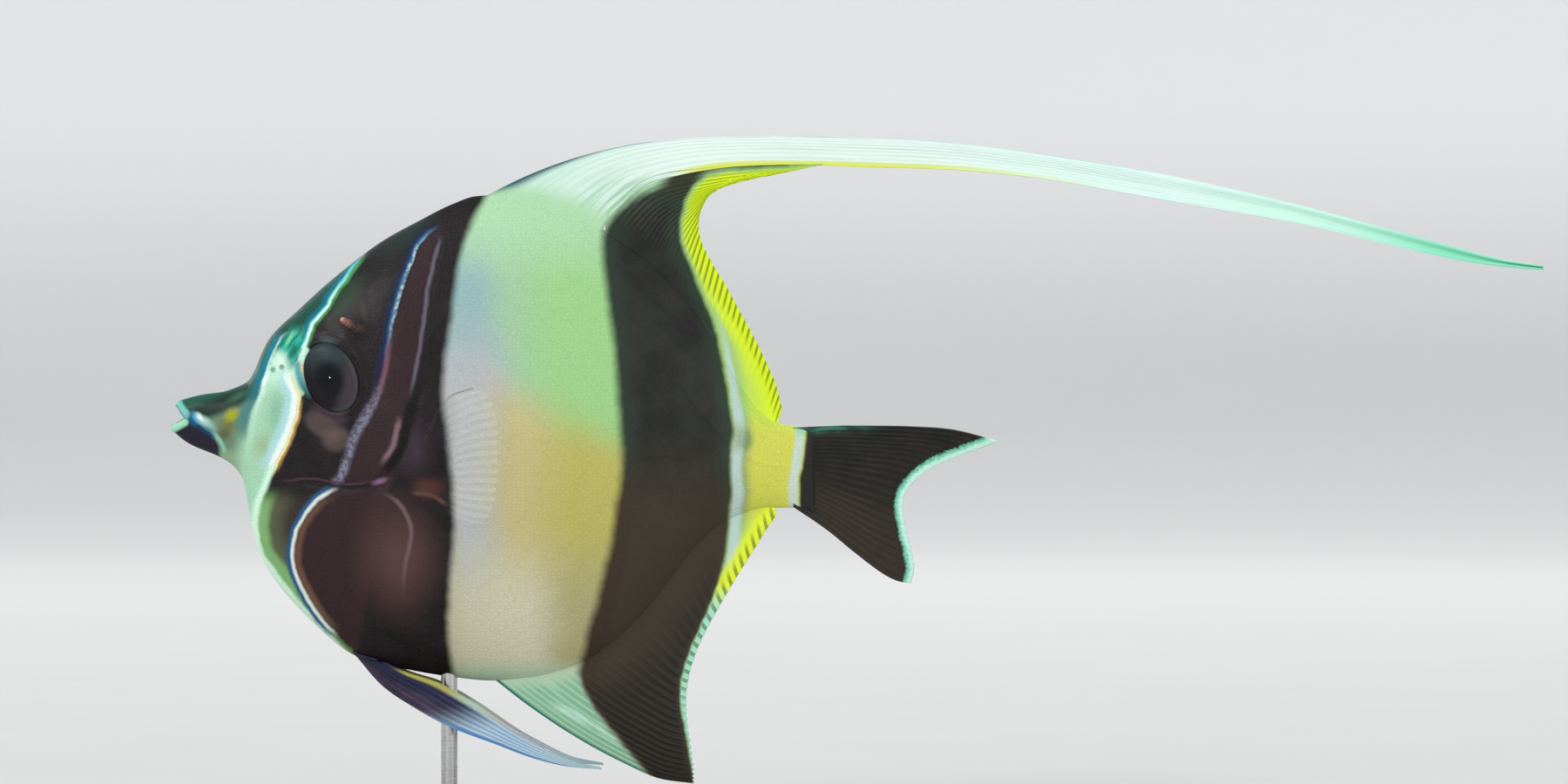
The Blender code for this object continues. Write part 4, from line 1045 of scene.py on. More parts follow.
def ramp(value, start, end):
    """Goes smoothly from 0 to 1 as the value goes from start to end."""
    t = np.clip((value - start) / (end - start), 0.0, 1.0)
    return t * t * (3 - 2 * t)


def window(share, fade_in, fade_out):
    """1 along the middle of a line and 0 past its ends."""
    return ramp(share, *fade_in) * (1 - ramp(share, *fade_out))


def groove(flat, name, width, depth, fade_in=(0.0, 0.1), fade_out=(0.9, 1.0)):
    """The height of a groove along a line of the pattern, or of a ridge where its depth is below zero."""
    distance, share = line_field(flat, LINES[name]).T
    return -depth * hump(distance, width) * window(share, fade_in, fade_out)


def eye_relief(x, z):
    """The rim that stands round the eye and the socket that drops inside it."""
    reach = eye_reach(x, z)
    rim = EYE_RIM_HEIGHT * hump(reach - 1.08, 0.09) + LID_HEIGHT * hump(reach - 1.3, 0.18)
    return rim - EYE_SOCKET_DEPTH * (1 - ramp(reach, 0.92, 0.985))


def gill_relief(flat):
    """The gill cover's free edge, raised above the slit behind it."""
    distance, share = line_field(flat, LINES["gill"]).T
    cover = GILL_COVER_HEIGHT * np.exp(np.minimum(distance, 0.0) / 4.5) * (1 - ramp(distance, -0.25, 0.35))
    return window(share, (-0.35, 0.25), (0.9, 1.3)) * (cover - GILL_SLIT_DEPTH * hump(distance - 0.7, 0.9))


def fine_relief(places):
    """How far each corner of the skin moves outwards, in millimetres."""
    x, z = places[:, 0], places[:, 2]
    flat = places[:, [0, 2]]
    height = eye_relief(x, z) + gill_relief(flat)
    for name, how in GROOVES.items():
        height += groove(flat, name, *how)
    distance, share = line_field(flat, LATERAL_LINE).T
    height += LATERAL_HEIGHT * hump(distance, LATERAL_WIDTH) * window(share, (0.0, 0.05), (0.95, 1.0))
    for pad_x, pad_z, radius_x, radius_z, raised in PADS:
        height += raised * hump(np.hypot((x - pad_x) / radius_x, (z - pad_z) / radius_z), 1.0)
    for nostril_x, nostril_z in NOSTRILS:
        reach = np.hypot(x - nostril_x, z - nostril_z)
        height += NOSTRIL_RIM_HEIGHT * hump(reach - 0.85, 0.3) - NOSTRIL_DEPTH * (1 - ramp(reach, 0.1, 0.75))
    return height


places = read_corners(skin)
normals = read_corners(skin, "normal")
relief = fine_relief(places)
flank_share = np.clip(np.abs(normals[:, 1]) * 1.6, 0.0, 1.0)  # less relief where the skin turns away
places += normals * (relief * flank_share)[:, None]
print("deepest relief:", round(float(relief.min()), 2), "mm")

# %% [markdown]
# ## The mouth
# The snout is closed so far. A wedge with its point at the corner of the mouth says what is open. Every
# corner of the net that lies inside the wedge is pushed back to the wedge's wall and a little deeper at
# the middle, so that the lips keep a true edge and a hollow lies between them. Then the lips swell: each
# corner near a lip's line moves out along its normal.

# %% Open the mouth
MOUTH_WALL = [(8.4, -6.0), (9.2, 0.9), (10.4, 2.6), (13.0, 0.9), (13.4, -6.0)]  # height, x
MOUTH_HOLLOW, MOUTH_HALF_WIDTH = 1.6, 1.7
LIP_WIDTH, LIP_HEIGHT, LIPS_END_X = 1.25, 0.34, 6.0
UPPER_LIP = [(3.0, 11.2), (2.0, 12.3), (1.3, 13.2)], (1.2, 13.5)  # points on one side, then the front one
LOWER_LIP = [(2.5, 9.6), (1.2, 8.9), (0.3, 8.4)], (0.0, 8.1)


def lip_reach(places, side, front):
    """Distance of each corner from a lip's line, which runs from one side round the front to the other."""
    left = [(x, -float(flank_y(x, z)), z) for x, z in side]
    right = [(x, -y, z) for x, y, z in reversed(left)]
    route = path(left + [(front[0], 0.0, front[1])] + right)(np.linspace(0.0, 1.0, 60))
    near = places[:, 0] < LIPS_END_X
    reach = np.full(len(places), 9.0)
    gaps = places[near][:, None, :] - route[None, :, :]
    reach[near] = np.linalg.norm(gaps, axis=2).min(axis=1)
    return reach


heights, walls = np.array(MOUTH_WALL).T
wall = np.interp(places[:, 2], heights, walls)
inside = (places[:, 0] < wall) & (places[:, 2] > heights[0]) & (places[:, 2] < heights[-1])
middle_share = 1 - np.clip(np.abs(places[:, 1]) / MOUTH_HALF_WIDTH, 0.0, 1.0) ** 2
places[inside, 0] = (wall + MOUTH_HOLLOW * middle_share)[inside]
write_corners(skin, places)
lip = np.minimum(lip_reach(places, *UPPER_LIP), lip_reach(places, *LOWER_LIP))
swell = LIP_HEIGHT * (1 - np.minimum(lip / LIP_WIDTH, 1.0) ** 2) ** 2
places += read_corners(skin, "normal") * swell[:, None]
in_nostril = np.zeros(len(places))
for x, z in NOSTRILS:
    in_nostril = np.maximum(in_nostril, 1 - ramp(np.hypot(places[:, 0] - x, places[:, 2] - z), 0.35, 0.8))
write_corners(skin, places)
note(skin, "in_mouth", inside * 1.0)
note(skin, "on_lip", (1 - ramp(lip, 0.5, LIP_WIDTH)) * ~inside)
note(skin, "in_nostril", in_nostril)
note(skin, "eye_reach", eye_reach(places[:, 0], places[:, 2]))
note_lines(skin, LINES)
places[:, 1] += swim(places[:, 0])
write_corners(skin, places)
show("painted_skin", skin, skin_finish, ["head", "lower_jaw", "torso", "tail_stalk"])

# %% [markdown]
# ## Eyes
# A fish's eye is a ball with a flattened, bulging front. The iris, the pupil and the pale arc come
# from the distance to the eye's centre. A clear coat gives the wet gloss, which is sharpest in the
# middle.

# %% Make the eyes
EYE_DEPTH, EYE_SUNK, EYE_FILL = 3.5, 2.1, 1.08
FRONT_FILL, RIM_FILL = 0.15, 0.9  # how much the ball is filled out all over its front and close to its rim


def mix_eye():
    """A dark iris, lighter above, a soft black pupil and a thin pale arc along its rear and lower edge."""
    finish = Finish("eye_gloss", Coat_Weight=0.18, Roughness=0.5, Specular_IOR_Level=0.08)
    across, up = finish.noted("eye_across"), finish.noted("eye_up")
    reach = finish.sum("SQRT", finish.sum("MULTIPLY_ADD", across, across, finish.sum("MULTIPLY", up, up)))
    spokes = {0: finish.sum("MULTIPLY", finish.sum("ARCTAN2", up, across), 9.0), 1: reach}
    spokes = finish.add("CombineXYZ", spokes).outputs[0]
    streak = finish.add("TexNoise", {"Vector": spokes, "Scale": 2.2, "Detail": 3.0}).outputs[0]
    upper = finish.sum("MULTIPLY_ADD", across, 0.4, up)
    lower_rear = finish.sum("MULTIPLY_ADD", across, 0.68, finish.sum("MULTIPLY", up, -0.73))
    off_ring = finish.sum("ABSOLUTE", finish.sum("SUBTRACT", reach, 0.9))
    colour = finish.lay(
        (20, 16, 22),
        ((38, 54, 58), finish.fade(upper, -0.15, 0.85)),
        ((54, 66, 66), finish.fade(streak, 0.4, 0.8), finish.fade(upper, -0.3, 0.8), 0.4),
        ((62, 52, 60), finish.fade(lower_rear, 0.2, 0.6), finish.fade(reach, 1.0, 0.8)),
        ((78, 86, 88), finish.fade(off_ring, 0.12, 0.0), finish.fade(lower_rear, -0.1, 0.6), 0.5),
        ((2, 8, 15), finish.fade(reach, 0.65, 0.2)),
    )
    finish.set("Base Color", colour)
    finish.set("Coat Roughness", finish.sum("MULTIPLY_ADD", finish.fade(reach, 0.3, 0.6), 0.3, 0.03))
    return finish


def make_eye(label, side, finish):
    """One eyeball in its socket."""
    shape = bmesh.new()
    bmesh.ops.create_uvsphere(shape, u_segments=72, v_segments=48, radius=1.0)
    mesh = as_mesh(shape, "eyeball_" + label)
    local = read_corners(mesh)
    note(mesh, "eye_across", local[:, 0])
    note(mesh, "eye_up", local[:, 1])
    surface, outward, aft, up = (np.array(value) for value in flank_frame(*EYE, side))
    cosine, sine = math.cos(EYE_TILT), math.sin(EYE_TILT)
    aft, up = aft * cosine + up * sine, up * cosine - aft * sine
    reach = np.hypot(local[:, 0], local[:, 1])
    depth = local[:, 2] * (1 + FRONT_FILL * reach**2 + RIM_FILL * reach**6) * EYE_DEPTH - EYE_SUNK
    local *= EYE_FILL
    places = surface + np.outer(depth, outward)
    places += np.outer(local[:, 0] * EYE_RADII[0], aft) + np.outer(local[:, 1] * EYE_RADII[1], up)
    write_corners(mesh, places)
    turn_outwards(mesh)
    return show("eyeball_" + label, mesh, finish, ["eye_" + label])


eye_finish = mix_eye()
for label, side in SIDES:
    make_eye(label, side, eye_finish)

# %% [markdown]
# ## Horns
# An adult moorish idol carries a small bony horn above each eye.

# %% Make the horns
HORN, HORN_LENGTH, HORN_RADIUS, HORN_LEAN = (40.1, 30.0), 4.0, 1.15, (0.6, -0.65, 0.4)
HORN_SUNK, HORN_BLUNTNESS, HORN_FOOT_FLARE = 1.4, 0.12, 0.5


def mix_horn():
    """Orange-brown horn, darker at the foot and ringed by growth lines."""
    finish = Finish("horn", Coat_Weight=0.2, Coat_Roughness=0.2)
    growth = finish.noted("horn_growth")
    rings = finish.sum("SINE", finish.sum("MULTIPLY_ADD", growth, 46.0, finish.noise(1.4, 2.0)))
    colour = finish.lay(
        (44, 32, 30),
        ((128, 80, 64), finish.fade(growth, 0.35, 0.75)),
        ((206, 158, 134), finish.fade(growth, 0.78, 1.0)),
        ((64, 38, 30), finish.fade(rings, 0.2, 1.0), 0.25),
    )
    finish.set("Base Color", colour)
    finish.relief(rings, 0.06, 0.6)
    finish.roughness(0.35, 0.5, 0.8)
    return finish


def make_horn(label, side, finish):
    """One horn, from a wide foot under the skin to its blunt point."""
    shape = bmesh.new()
    bmesh.ops.create_cone(shape, cap_ends=True, segments=28, radius1=1.0, radius2=1.0, depth=1.0)
    long_edges = [edge for edge in shape.edges if abs(edge.verts[0].co.z - edge.verts[1].co.z) > 0.5]
    bmesh.ops.subdivide_edges(shape, edges=long_edges, cuts=24)
    face_outwards(shape)
    mesh = as_mesh(shape, "horn_" + label)
    local = read_corners(mesh)
    growth = local[:, 2] + 0.5
    note(mesh, "horn_growth", growth)
    surface, outward, aft, up = (np.array(value) for value in flank_frame(*HORN, side))
    ahead = up * HORN_LEAN[2] + aft * HORN_LEAN[1]

    def spine(share):
        """The middle line of the horn, which leaves the brow and bends forwards."""
        raised = HORN_LENGTH * HORN_LEAN[0] * np.sin(share * math.pi / 2) - HORN_SUNK * (1 - share)
        return surface + np.outer(raised, outward) + np.outer(HORN_LENGTH * share**1.5, ahead)

    lean = spine(growth + 0.01) - spine(growth - 0.01)
    lean[growth < 0.02] = outward
    lean /= np.linalg.norm(lean, axis=1)[:, None]
    beside = np.cross(lean, outward + aft * 0.3)
    beside /= np.linalg.norm(beside, axis=1)[:, None]
    above = np.cross(beside, lean)
    taper = HORN_BLUNTNESS + (1 - HORN_BLUNTNESS) * np.sqrt(1 - growth**1.8)
    local *= (HORN_RADIUS * taper * (1 + HORN_FOOT_FLARE * hump(growth, 0.25)))[:, None]
    write_corners(mesh, spine(growth) + beside * local[:, :1] + above * local[:, 1:2])
    return show("horn_" + label, mesh, finish, [])


horn_finish = mix_horn()
for label, side in SIDES:
    make_horn(label, side, horn_finish)

# %% [markdown]
# ## How a fin is built
# A fin is a thin skin stretched over many slim rays. Each ray stands out as a ridge on both faces, and a
# soft ray forks in two towards the edge. One function makes every fin: a flat net is extruded to get its
# second face, and then each corner is placed by three shares: across the rays, along them, and the
# thickness there. The thickness follows the rays, swells at the root where flesh wraps it and thins out
# at the edge, which is nicked a little between the rays. On the fish skin and scales run up over the
# root, so the rays only rise some way out, and the finish can read how far that is.

# %% The fin maker
FIN_MEMBRANE, RIDGE_WIDTH, FORK_SPREAD = 0.34, 0.15, 0.24  # millimetres, then shares of the rays' spacing
EDGE_THINNING = 0.65
ROOT_INSET = 1.0  # how deep a fin's root sinks into the body


def fan(root, edge, first, last, calm=1.0, spacing=None):
    """A fin's sheet from the points of its edge and those that its first and last ray pass on the way."""
    rim = path(edge)
    ends = path([root(0.0), *first, edge[0]]), path([root(1.0), *last, edge[-1]])

    def at(u, v):
        across, along = u[:, None], v[:, None]
        sheet = (1 - along) * root(u) + along * rim(spacing(u) if spacing else u)
        for bent, share in zip(ends, ((1 - across) ** calm, across**calm)):
            sheet = sheet + share * (bent(v) - ((1 - along) * bent(0.0) + along * bent(1.0)))
        return sheet

    return at


def upright(flat, waves=0.5):
    """Stands a flat sheet of points in the middle plane, bent with the body and gently waved."""

    def at(u, v):
        x, z = flat(u, v).T
        wave = waves * v**1.5 * np.sin(math.tau * (1.3 * u + 0.6 * v))
        return np.stack([x, swim(x) + wave, z], axis=1)

    return at


def make_fin(
    name, surface, rays, rows, finish, replaced,
    root=0.75, swell=1.3, bare=9.0, per_ray=8, ray=0.7, notch=0.012, fork=0.5, lines=(),
):
    """One fin with its rays, which rise to their full height where the root's skin ends."""
    shape = bmesh.new()
    bmesh.ops.create_grid(shape, x_segments=rays * per_ray, y_segments=rows, size=1.0)
    pushed = bmesh.ops.extrude_face_region(shape, geom=shape.faces[:])["geom"]
    far = [item for item in pushed if isinstance(item, bmesh.types.BMVert)]
    bmesh.ops.translate(shape, verts=far, vec=(0.0, 0.0, 1.0))
    mesh = as_mesh(shape, name)
    net = read_corners(mesh)
    u, v = (net[:, 0] + 1) / 2, (net[:, 1] + 1) / 2
    side = 2 * net[:, 2] - 1
    from_root = np.linalg.norm(surface(u, v) - surface(u, v * 0), axis=1)
    from_ray = np.abs((u * rays + 0.5) % 1.0 - 0.5)
    split = FORK_SPREAD * ramp(v, fork, 1.05) * (fork < 1)
    ridge = hump(np.abs(from_ray - split), RIDGE_WIDTH)
    nicked = v * (1 - notch * v**14 * (2 * from_ray) ** 2)
    step = 0.004
    across = surface(np.minimum(u + step, 1), v) - surface(np.maximum(u - step, 0), v)
    along = surface(u, np.minimum(v + step, 1)) - surface(u, np.maximum(v - step, 0))
    normal = np.cross(across, along)
    normal /= np.linalg.norm(normal, axis=1)[:, None]
    risen = FIN_MEMBRANE + (ray - FIN_MEMBRANE) * ridge * ramp(from_root, 0.15 * bare, bare)
    half = (risen + root * np.exp(-from_root / swell)) * (1 - EDGE_THINNING * v**10)
    write_corners(mesh, surface(u, nicked) + normal * (half * side / 2)[:, None])
    for kept, values in (("across", u), ("along", v), ("ray", u * rays), ("root", from_root)):
        note(mesh, "fin_" + kept, values)
    turn_outwards(mesh)
    note_lines(mesh, lines)
    return show(name, mesh, finish, replaced)


def body_edge(start, end, above):
    """The line just inside the back or the belly that a fin's root follows."""

    def at(u):
        x = start + u * (end - start)
        z = back_z(x) - ROOT_INSET if above else belly_z(x) + ROOT_INSET
        return np.stack([x, z], axis=-1)

    return at


print("fin maker ready")

# %% [markdown]
# ## Finish of the fins
# The rays show as fine light lines with darker skin between them. The mesh keeps the number of the ray
# beside every corner, so a wave of that number draws them, wherever the fin bends.

# %% Fin paint


class FinFinish(Finish):
    """A finish that knows a fin's rays, and the shares across it, along it and from its root."""

    def __init__(self, name, sharp=0.7, coat=0.05, **settings):
        super().__init__(name, Coat_Weight=coat, **settings)
        wave = self.sum("COSINE", self.sum("MULTIPLY", self.noted("fin_ray"), math.tau))
        self.rays = self.fade(wave, -sharp, sharp)
        self.u, self.v, self.root = (self.noted("fin_" + kept) for kept in ("across", "along", "root"))

    def across(self, start, end):
        """Goes from 0 to 1 from one ray to another, counted as shares of the fin from its first ray."""
        return self.fade(self.u, start, end)

    def along(self, start, end):
        """Goes from 0 to 1 along the rays, counted as shares of their length."""
        return self.fade(self.v, start, end)

    def between_rays(self, start, end):
        """Goes from 0 to 1 as the share of a ray goes from start, nearer to it, to end."""
        return self.fade(self.rays, start, end)

    def off_root(self, start, end):
        """Goes from 0 to 1 as the distance from the root goes from start to end."""
        return self.fade(self.root, start, end)

    def done(self, colour, depth=0.07, skin_ends=6.0):
        """Colour, scales over the root, then the fine cross joints of the rays and a little grain."""
        self.set("Base Color", colour)
        skewed = self.sum("MULTIPLY", self.noted("fin_ray"), 0.9)
        joints = self.sum("SINE", self.sum("MULTIPLY_ADD", self.v, 260.0, skewed))
        height = self.sum("MULTIPLY_ADD", joints, 0.2, self.noise(2.2, 3.0))
        bare = self.off_root(0.3 * skin_ends, skin_ends)
        self.relief(self.between(scale_height(self)[0], height, bare), depth, 0.6)
        self.roughness(0.36, 0.5, 0.5)
        return self


MATT = {"Coat_Roughness": 0.25, "Specular_IOR_Level": 0.16}


def mix_dorsal():
    """Black ahead and yellow behind, with olive lines between the rays at the edge."""
    fin = FinFinish("dorsal_fin_paint", **MATT)
    from_edge = fin.sum("ABSOLUTE", fin.line("dorsal_edge")[0])
    yellow_here = fin.behind("band_2_rear", 1.4, 1.2)
    reach = fin.sum("MULTIPLY_ADD", fin.up(28.0, 50.0), 6.0, 2.8)
    near_edge = fin.fade(fin.sum("DIVIDE", from_edge, reach), 1.0, 0.4)
    return fin.done(fin.lay(
        bands(fin, (180, 200, 180)),
        ((216, 240, 30), yellow_here, fin.fade(from_edge, 6.0, 1.6)),
        ((112, 124, 16), yellow_here, near_edge, fin.between_rays(0.34, 0.02), 0.75),
        ((48, 52, 36), fin.up(57.0, 60.0), fin.aft(104.0, 109.0), fin.past("band_2_rear", 0.6, -1.2)),
        ((66, 66, 54), fin.past("band_2_rear", 0.0, -1.5), fin.rays, fin.off_root(4.0, 12.0), 0.18),
    ))


def mix_anal():
    """White ahead, black in the middle, and an edge that turns from yellow to turquoise white."""
    fin = FinFinish("anal_fin_paint", **MATT)
    from_edge = fin.sum("ABSOLUTE", fin.line("anal_edge")[0])
    ahead = fin.past("band_2_front", 0.6, -0.8)
    beyond = fin.behind("band_2_rear", 0.8, 0.2)
    in_black = fin.past("band_2_rear", 0.0, -1.5), fin.behind("band_2_front", 1.0, 1.0)
    streaks = fin.fade(fin.noise(0.25, 3.0, (4.0, 1.0, 1.0), -0.6), 0.5, 0.7)
    pale = fin.lay((132, 182, 148), ((156, 200, 170), fin.rays), ((186, 224, 202), streaks))
    edge = fin.over((224, 240, 40), (166, 226, 202), fin.up(-25.0, -32.0))
    gaps = fin.fade(from_edge, 3.0, 1.0), fin.between_rays(0.42, 0.05), fin.up(-60.0, -44.0)
    return fin.done(fin.lay(
        bands(fin, (196, 214, 190)),
        (pale, ahead, fin.off_root(1.0, 6.0)),
        ((20, 106, 98), ahead, fin.across(0.022, 0.006)),
        (edge, beyond, fin.fade(from_edge, 4.2, 2.2), 0.9),
        ((56, 76, 40), beyond, *gaps, 0.65),
        ((24, 24, 20), *in_black, fin.off_root(2.0, 16.0), 0.8),
        ((70, 68, 58), *in_black, fin.rays, fin.off_root(6.0, 16.0), 0.25),
    ))


def mix_banner():
    """The streamer: white at its root, mint at its tip, with a yellow lower and a teal upper edge."""
    fin = FinFinish("streamer_paint", 0.8, 0.08, Coat_Roughness=0.2, Specular_IOR_Level=0.2)
    streaks = {0: fin.sum("MULTIPLY", fin.v, 6.0), 1: fin.sum("MULTIPLY", fin.u, 14.0)}
    streaks = fin.add("CombineXYZ", streaks).outputs[0]
    streaks = fin.add("TexNoise", {"Vector": streaks, "Scale": 1.6, "Detail": 3.0}).outputs[0]
    colour = fin.lay(
        (206, 236, 220),
        ((228, 244, 236), fin.aft(80.0, 112.0)),
        ((222, 248, 238), fin.aft(150.0, 210.0)),
        ((206, 248, 230), fin.aft(215.0, 248.0)),
        ((142, 232, 196), fin.aft(246.0, 284.0)),
        ((160, 200, 190), fin.fade(streaks, 0.5, 0.75), 0.4),
        ((160, 196, 186), fin.between_rays(0.4, 0.0), 0.16),
        ((126, 186, 146), fin.fade(streaks, 0.46, 0.6), fin.across(0.6, 0.95), fin.aft(108.0, 96.0), 0.7),
        ((44, 100, 108), fin.across(0.3, 0.03), fin.aft(102.0, 84.0)),
        ((148, 190, 206), fin.across(0.14, 0.04), fin.aft(84.0, 96.0), fin.aft(215.0, 190.0), 0.7),
        ((214, 226, 84), fin.across(0.86, 0.97), fin.aft(106.0, 116.0), fin.aft(212.0, 150.0)),
    )
    tail_side = fin.all_of(fin.behind("band_2_front", 2.0), fin.aft(124.0, 116.0))
    bare = fin.off_root(0.8, 8.0), fin.behind("band_1_rear", 1.6), fin.sum("SUBTRACT", 1.0, tail_side)
    return fin.done(fin.lay(bands(fin, (42, 40, 40)), (colour, *bare)))


print("fin paints ready")

# %% [markdown]
# ## The streamer
# Four fins stand on the middle plane. The front of the dorsal fin is drawn out into the long white
# streamer, whose few rays run its whole length, so its sheet only needs an upper and a lower line. The
# net has many rows along it and its rays don't fork.

# %% Make the streamer
BAND_LINES = ["band_1_rear", "band_2_front", "band_2_rear"]
BANNER_ROOT_X = (66.0, 93.1)
BANNER_TOP = [
    (76.0, 62.9), (85.5, 66.6), (95.0, 69.2), (106.4, 70.8), (123.5, 71.6), (142.5, 71.6), (161.5, 71.1),
    (180.5, 69.2), (199.5, 66.5), (218.5, 63.2), (237.5, 59.1), (256.5, 54.4), (275.5, 49.4),
    (290.7, 45.5),
]
BANNER_FOOT = [
    (95.0, 54.2), (98.8, 58.1), (102.6, 60.8), (107.4, 62.7), (114.0, 64.2), (123.5, 65.4), (138.7, 65.6),
    (152.0, 65.2), (171.0, 64.6), (190.0, 62.7), (209.0, 59.5), (228.0, 56.2), (247.0, 53.0),
    (266.0, 48.6), (285.0, 44.7),
]
BANNER_TIP = [(300.8, 44.0), (300.8, 43.1)]
banner = upright(fan(body_edge(*BANNER_ROOT_X, True), BANNER_TIP, BANNER_TOP, BANNER_FOOT))
make_fin(
    "streamer", banner, 11, 420, mix_banner(), ["dorsal_banner", "streamer_near", "streamer_tip"],
    bare=24.0, ray=0.48, notch=0.0, fork=2.0, lines=BAND_LINES,
)

# %% [markdown]
# ## The soft dorsal fin
# Behind the streamer's root the fin sweeps back from the disc with many close rays. Its edge is drawn, and
# each ray ends at its own share of the edge. A small shift moves the middle rays' ends towards the tip.

# %% Make the soft dorsal fin
DORSAL_ROOT_X, DORSAL_RAY_SHIFT = (93.9, 131.3), -0.02
DORSAL_EDGE = [
    (141.5, 65.8), (133.0, 64.0), (126.4, 63.6), (121.2, 62.5), (117.4, 60.0), (115.1, 56.4),
    (114.4, 52.6), (115.1, 48.8), (117.4, 44.3), (120.7, 38.8), (123.5, 33.6), (126.5, 28.1),
    (129.4, 22.2), (131.3, 17.7), (132.6, 12.4),
]
DORSAL_FIRST_RAY = [(94.6, 54.9), (98.2, 59.1), (101.9, 62.1), (107.0, 63.9), (114.1, 64.8), (123.5, 65.5)]
LINES["dorsal_edge"] = np.array(DORSAL_EDGE)
dorsal = fan(
    body_edge(*DORSAL_ROOT_X, True), DORSAL_EDGE, DORSAL_FIRST_RAY, [], 3.0,
    lambda u: u + DORSAL_RAY_SHIFT * np.sin(math.pi * u),
)
make_fin(
    "soft_dorsal", upright(dorsal), 41, 72, mix_dorsal(), ["dorsal_fin"], lines=BAND_LINES + ["dorsal_edge"]
)

# %% [markdown]
# ## The anal fin
# The anal fin answers it below. Its rays end closer together at the tip than at the rear, so the share
# along the edge is raised to a power.

# %% Make the anal fin
ANAL_ROOT_X, ANAL_RAY_CROWDING = (69.0, 130.6), 1.4
ANAL_EDGE = [
    (113.4, -69.2), (113.3, -65.5), (112.7, -60.8), (111.9, -55.1), (111.8, -49.4), (112.9, -43.7),
    (115.5, -37.0), (119.0, -30.6), (123.0, -23.8), (126.9, -17.6), (129.6, -13.2), (131.4, -10.6),
]
ANAL_FIRST_RAY = [(76.0, -51.3), (83.6, -56.6), (91.2, -61.2), (98.8, -65.1), (105.5, -68.0)]
LINES["anal_edge"] = np.array(ANAL_EDGE)[::-1]
anal = fan(
    body_edge(*ANAL_ROOT_X, False), ANAL_EDGE, ANAL_FIRST_RAY, [], 2.0, lambda u: u**ANAL_RAY_CROWDING
)
make_fin(
    "anal_fin_skin", upright(anal), 35, 84, mix_anal(), ["anal_fin"], lines=BAND_LINES + ["anal_edge"]
)

# %% [markdown]
# ## The tail fin
# The tail fin is a shallow fork that swings to one side as the fish swims. It is drawn flat first, and
# then its sheet is bent, so that the lower lobe swings out the most.

# %% Make the tail fin
TAIL_BASE_X, TAIL_ROOT_Z, TAIL_TWIST = 136.0, (8.4, -8.9), 8.0
TAIL_TOP_EDGE = [(144.4, 8.8), (152.0, 8.8), (161.5, 8.6), (170.1, 7.9)]
TAIL_FOOT_EDGE = [(142.5, -14.1), (148.2, -18.8), (153.9, -23.2), (157.7, -25.3)]
TAIL_EDGE = [
    (179.9, 5.4), (174.9, 3.5), (171.0, 2.1), (166.9, 0.4), (163.6, -1.6), (161.0, -4.0), (159.4, -6.6),
    (159.1, -9.6), (160.0, -14.3), (161.2, -19.2), (161.7, -22.6), (161.0, -25.9),
]


def mix_tail():
    """Black with a teal sheen above, and a turquoise white rear edge."""
    fin = FinFinish("tail_fin_paint", coat=0.06, **MATT)
    streaks = fin.fade(fin.noise(0.5, 2.0, (4.0, 1.0, 1.0)), 0.4, 0.6)
    teal = fin.over((34, 60, 52), (70, 138, 112), streaks)
    from_edge = fin.sum("ABSOLUTE", fin.line("tail_edge")[0])
    from_edge = fin.sum("ADD", from_edge, fin.sum("MULTIPLY_ADD", fin.noise(1.4, 2.0), 1.2, -0.6))
    margin = fin.over((120, 208, 176), (204, 244, 228), fin.fade(from_edge, 1.5, 0.8))
    return fin.done(fin.lay(
        (24, 25, 23),
        ((36, 34, 29), fin.fade(fin.noise(0.2, 3.0), 0.3, 0.7)),
        ((56, 46, 36), fin.across(0.45, 0.85), fin.along(0.02, 0.3), 0.8),
        (teal, fin.across(0.14, 0.0), fin.along(0.5, 0.1)),
        ((62, 58, 50), fin.rays, fin.along(0.15, 0.6), 0.2),
        (margin, fin.fade(from_edge, 2.2, 1.5)),
    ))


def tail_root(u):
    """The line inside the tail stalk that the fin grows from."""
    top, foot = TAIL_ROOT_Z
    return np.stack([u * 0 + TAIL_BASE_X - ROOT_INSET, top + u * (foot - top)], axis=-1)


tail_flat = fan(tail_root, TAIL_EDGE, TAIL_TOP_EDGE, TAIL_FOOT_EDGE)


def tail(u, v):
    """The tail fin's sheet, swung to the right at its lower lobe."""
    x, z = tail_flat(u, v).T
    aft = (x - TAIL_BASE_X) / (TAIL_EDGE[-1][0] - TAIL_BASE_X)
    return np.stack([x, swim(x) + TAIL_TWIST * aft * z / TAIL_EDGE[-1][1], z], axis=1)


LINES["tail_edge"] = np.array(TAIL_EDGE)
make_fin(
    "tail_fan", tail, 22, 72, mix_tail(), ["tail_fin"],
    root=1.2, swell=2.5, notch=0.006, lines=["tail_edge"],
)

# %% [markdown]
# ## The pelvic fins
# The pelvic fins are long, dark, narrow blades that trail under the belly, blue-white along their lower
# edge and towards the tip, partly as a painted highlight. Each is the same sheet, moved out to its side.

# %% Make the pelvic fins
PELVIC_ROOT = [(39.2, -40.4), (45.2, -42.2)]
PELVIC_FRONT = [(45.6, -47.7), (53.2, -52.8), (60.8, -56.8), (70.3, -60.3), (77.9, -63.1), (85.5, -65.0)]
PELVIC_REAR = [
    (51.3, -44.9), (57.5, -46.9), (61.8, -49.1), (67.5, -52.6), (74.1, -57.2), (79.8, -60.5), (86.5, -63.7),
]
PELVIC_TIP = [(93.5, -65.7), (93.2, -65.2)]
PELVIC_ROOT_Y, PELVIC_SPREAD, PELVIC_CANT = 1.9, 4.2, 0.8


